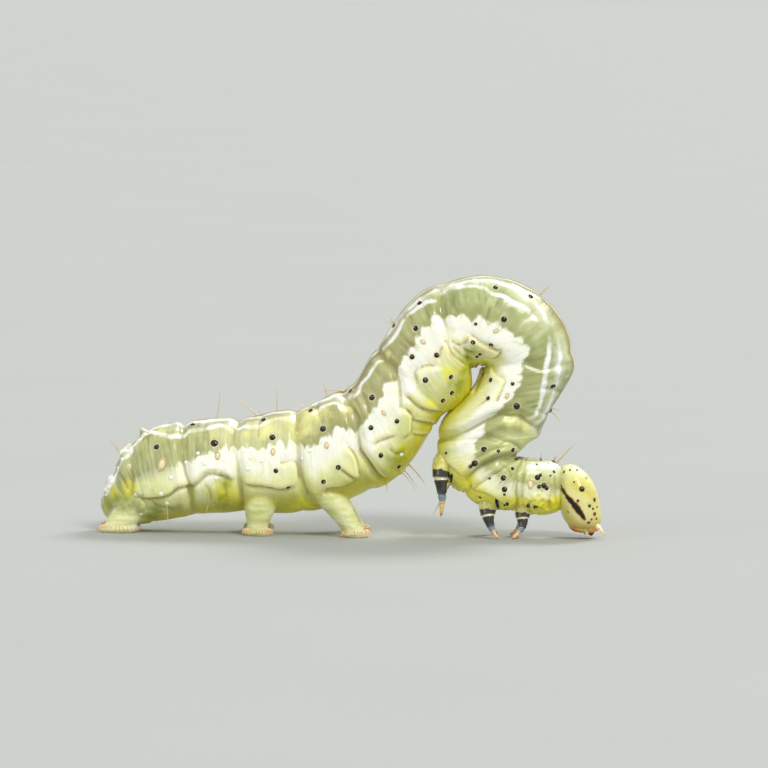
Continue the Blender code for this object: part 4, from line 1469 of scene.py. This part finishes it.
for name, path in FEELERS:
    for side, side_name in LEFT_AND_RIGHT[:1] if name == "spinneret" else LEFT_AND_RIGHT:
        full_name = name if name == "spinneret" else f"{name}_{side_name}"
        piece = jointed(full_name, path, side, FEELER_JOINTS)
        piece.data.materials.append(feeler_horn.material)
        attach(piece, "root")


def lump(name, middle, half, lean, side, dark):
    """One rounded mouthpart; its lower edge is as dark as the last value says."""
    points, edge = [], []
    rings, sides = 26, 36
    lean = math.radians(lean)

    def leaned(x, y, z):
        x, z = x * math.cos(lean) - z * math.sin(lean), x * math.sin(lean) + z * math.cos(lean)
        return middle[0] + x, side * (middle[1] + y), middle[2] + z

    for n in range(1, rings):
        polar = math.pi * n / rings
        for k in range(sides):
            turn = 2 * math.pi * k / sides
            x = half[0] * math.sin(polar) * math.cos(turn)
            y = half[1] * math.sin(polar) * math.sin(turn)
            z = half[2] * math.cos(polar)
            if name == "labrum":
                z += 0.07 * math.exp(-((y / 0.09) ** 2)) * max(0.0, -z / half[2])
            if name == "mandible":
                x *= 1 - 0.35 * max(0.0, -z / half[2])
                z += 0.03 * math.cos(y * 50) * max(0.0, -z / half[2]) ** 2
            edge.append(dark * max(0.0, -z / half[2]))
            points.append(leaned(x, y, z))
    points += [leaned(0, 0, half[2]), leaned(0, 0, -half[2])]
    edge += [0.0, dark]
    made = new_mesh(name, points, grid_faces(rings - 1, sides))
    keep_values(made, "edge", edge)
    made.data.materials.append(mouth.material)
    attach(made, "root")
    return made


for name, middle, half, lean, paired in MOUTHPARTS:
    dark = {"mandible": 1.0, "labrum": 0.5, "clypeus": 0.1}.get(name, 0.45)
    for side, side_name in LEFT_AND_RIGHT if paired else LEFT_AND_RIGHT[:1]:
        made = lump(name, middle, half, lean, side, dark)
        made.name = f"{name}_{side_name}" if paired else name

# The floor is a wide, plain pale board on which the model stands. It runs on far behind the
# model, where it meets an even sky of studio light.
FLOOR_REACH = 40
floor_mesh = bpy.data.meshes.new("floor")
corners = [(x * FLOOR_REACH, y * FLOOR_REACH, 0) for x, y in ((-1, -1), (1, -1), (1, 1), (-1, 1))]
floor_mesh.from_pydata(corners, [], [(0, 1, 2, 3)])
floor = bpy.data.objects.new("floor", floor_mesh)
bpy.context.scene.collection.objects.link(floor)
board = Finish("pale board", 0.8)
board.base(board.noise(60, 2), (165, 167, 164), (169, 171, 168))
floor_mesh.materials.append(board.material)

# Soft studio lights: a large key from the upper right in front, a fill from the left, and a
# strong light from behind and above that shines through the skin's edges.
LIGHTS = (  # name, where it stands, how wide it looks in degrees, strength
    ("key", (0.35, -0.60, 0.75), 20, 1.75),
    ("fill", (-0.70, -0.55, 0.35), 40, 0.35),
    ("back", (0.45, 0.65, 0.75), 22, 1.8),
)
for name, at, width, strength in LIGHTS:
    lamp = bpy.data.lights.new(name, "SUN")
    lamp.energy, lamp.angle = strength, math.radians(width)
    stand = bpy.data.objects.new(name, lamp)
    stand.location = at
    stand.rotation_euler = (AIM * MM - Vector(at)).to_track_quat("-Z", "Y").to_euler()
    bpy.context.scene.collection.objects.link(stand)
world = bpy.data.worlds.new("studio")
world.use_nodes = True
sky = world.node_tree.nodes["Background"]
sky.inputs["Color"].default_value = linear(245, 248, 244)
sky.inputs["Strength"].default_value = 0.7
bpy.context.scene.world = world
bpy.context.scene.view_settings.view_transform = "Standard"

# The camera stands where the photograph's did, 200 mm from the model's side and a few degrees
# above it. Its lens takes in just what the photograph shows.
lens = bpy.data.cameras.new("photo camera")
lens.sensor_width = 36
lens.lens = lens.sensor_width * VIEW_FROM / (PICTURE * PIXEL)
lens.clip_start, lens.clip_end = 0.01, 20
camera = bpy.data.objects.new("photo camera", lens)
turned = Matrix((RIGHT, UP, -FORWARD)).transposed().to_4x4()
camera.matrix_world = Matrix.Translation(EYE * MM) @ turned
bpy.context.scene.collection.objects.link(camera)
bpy.context.scene.camera = camera
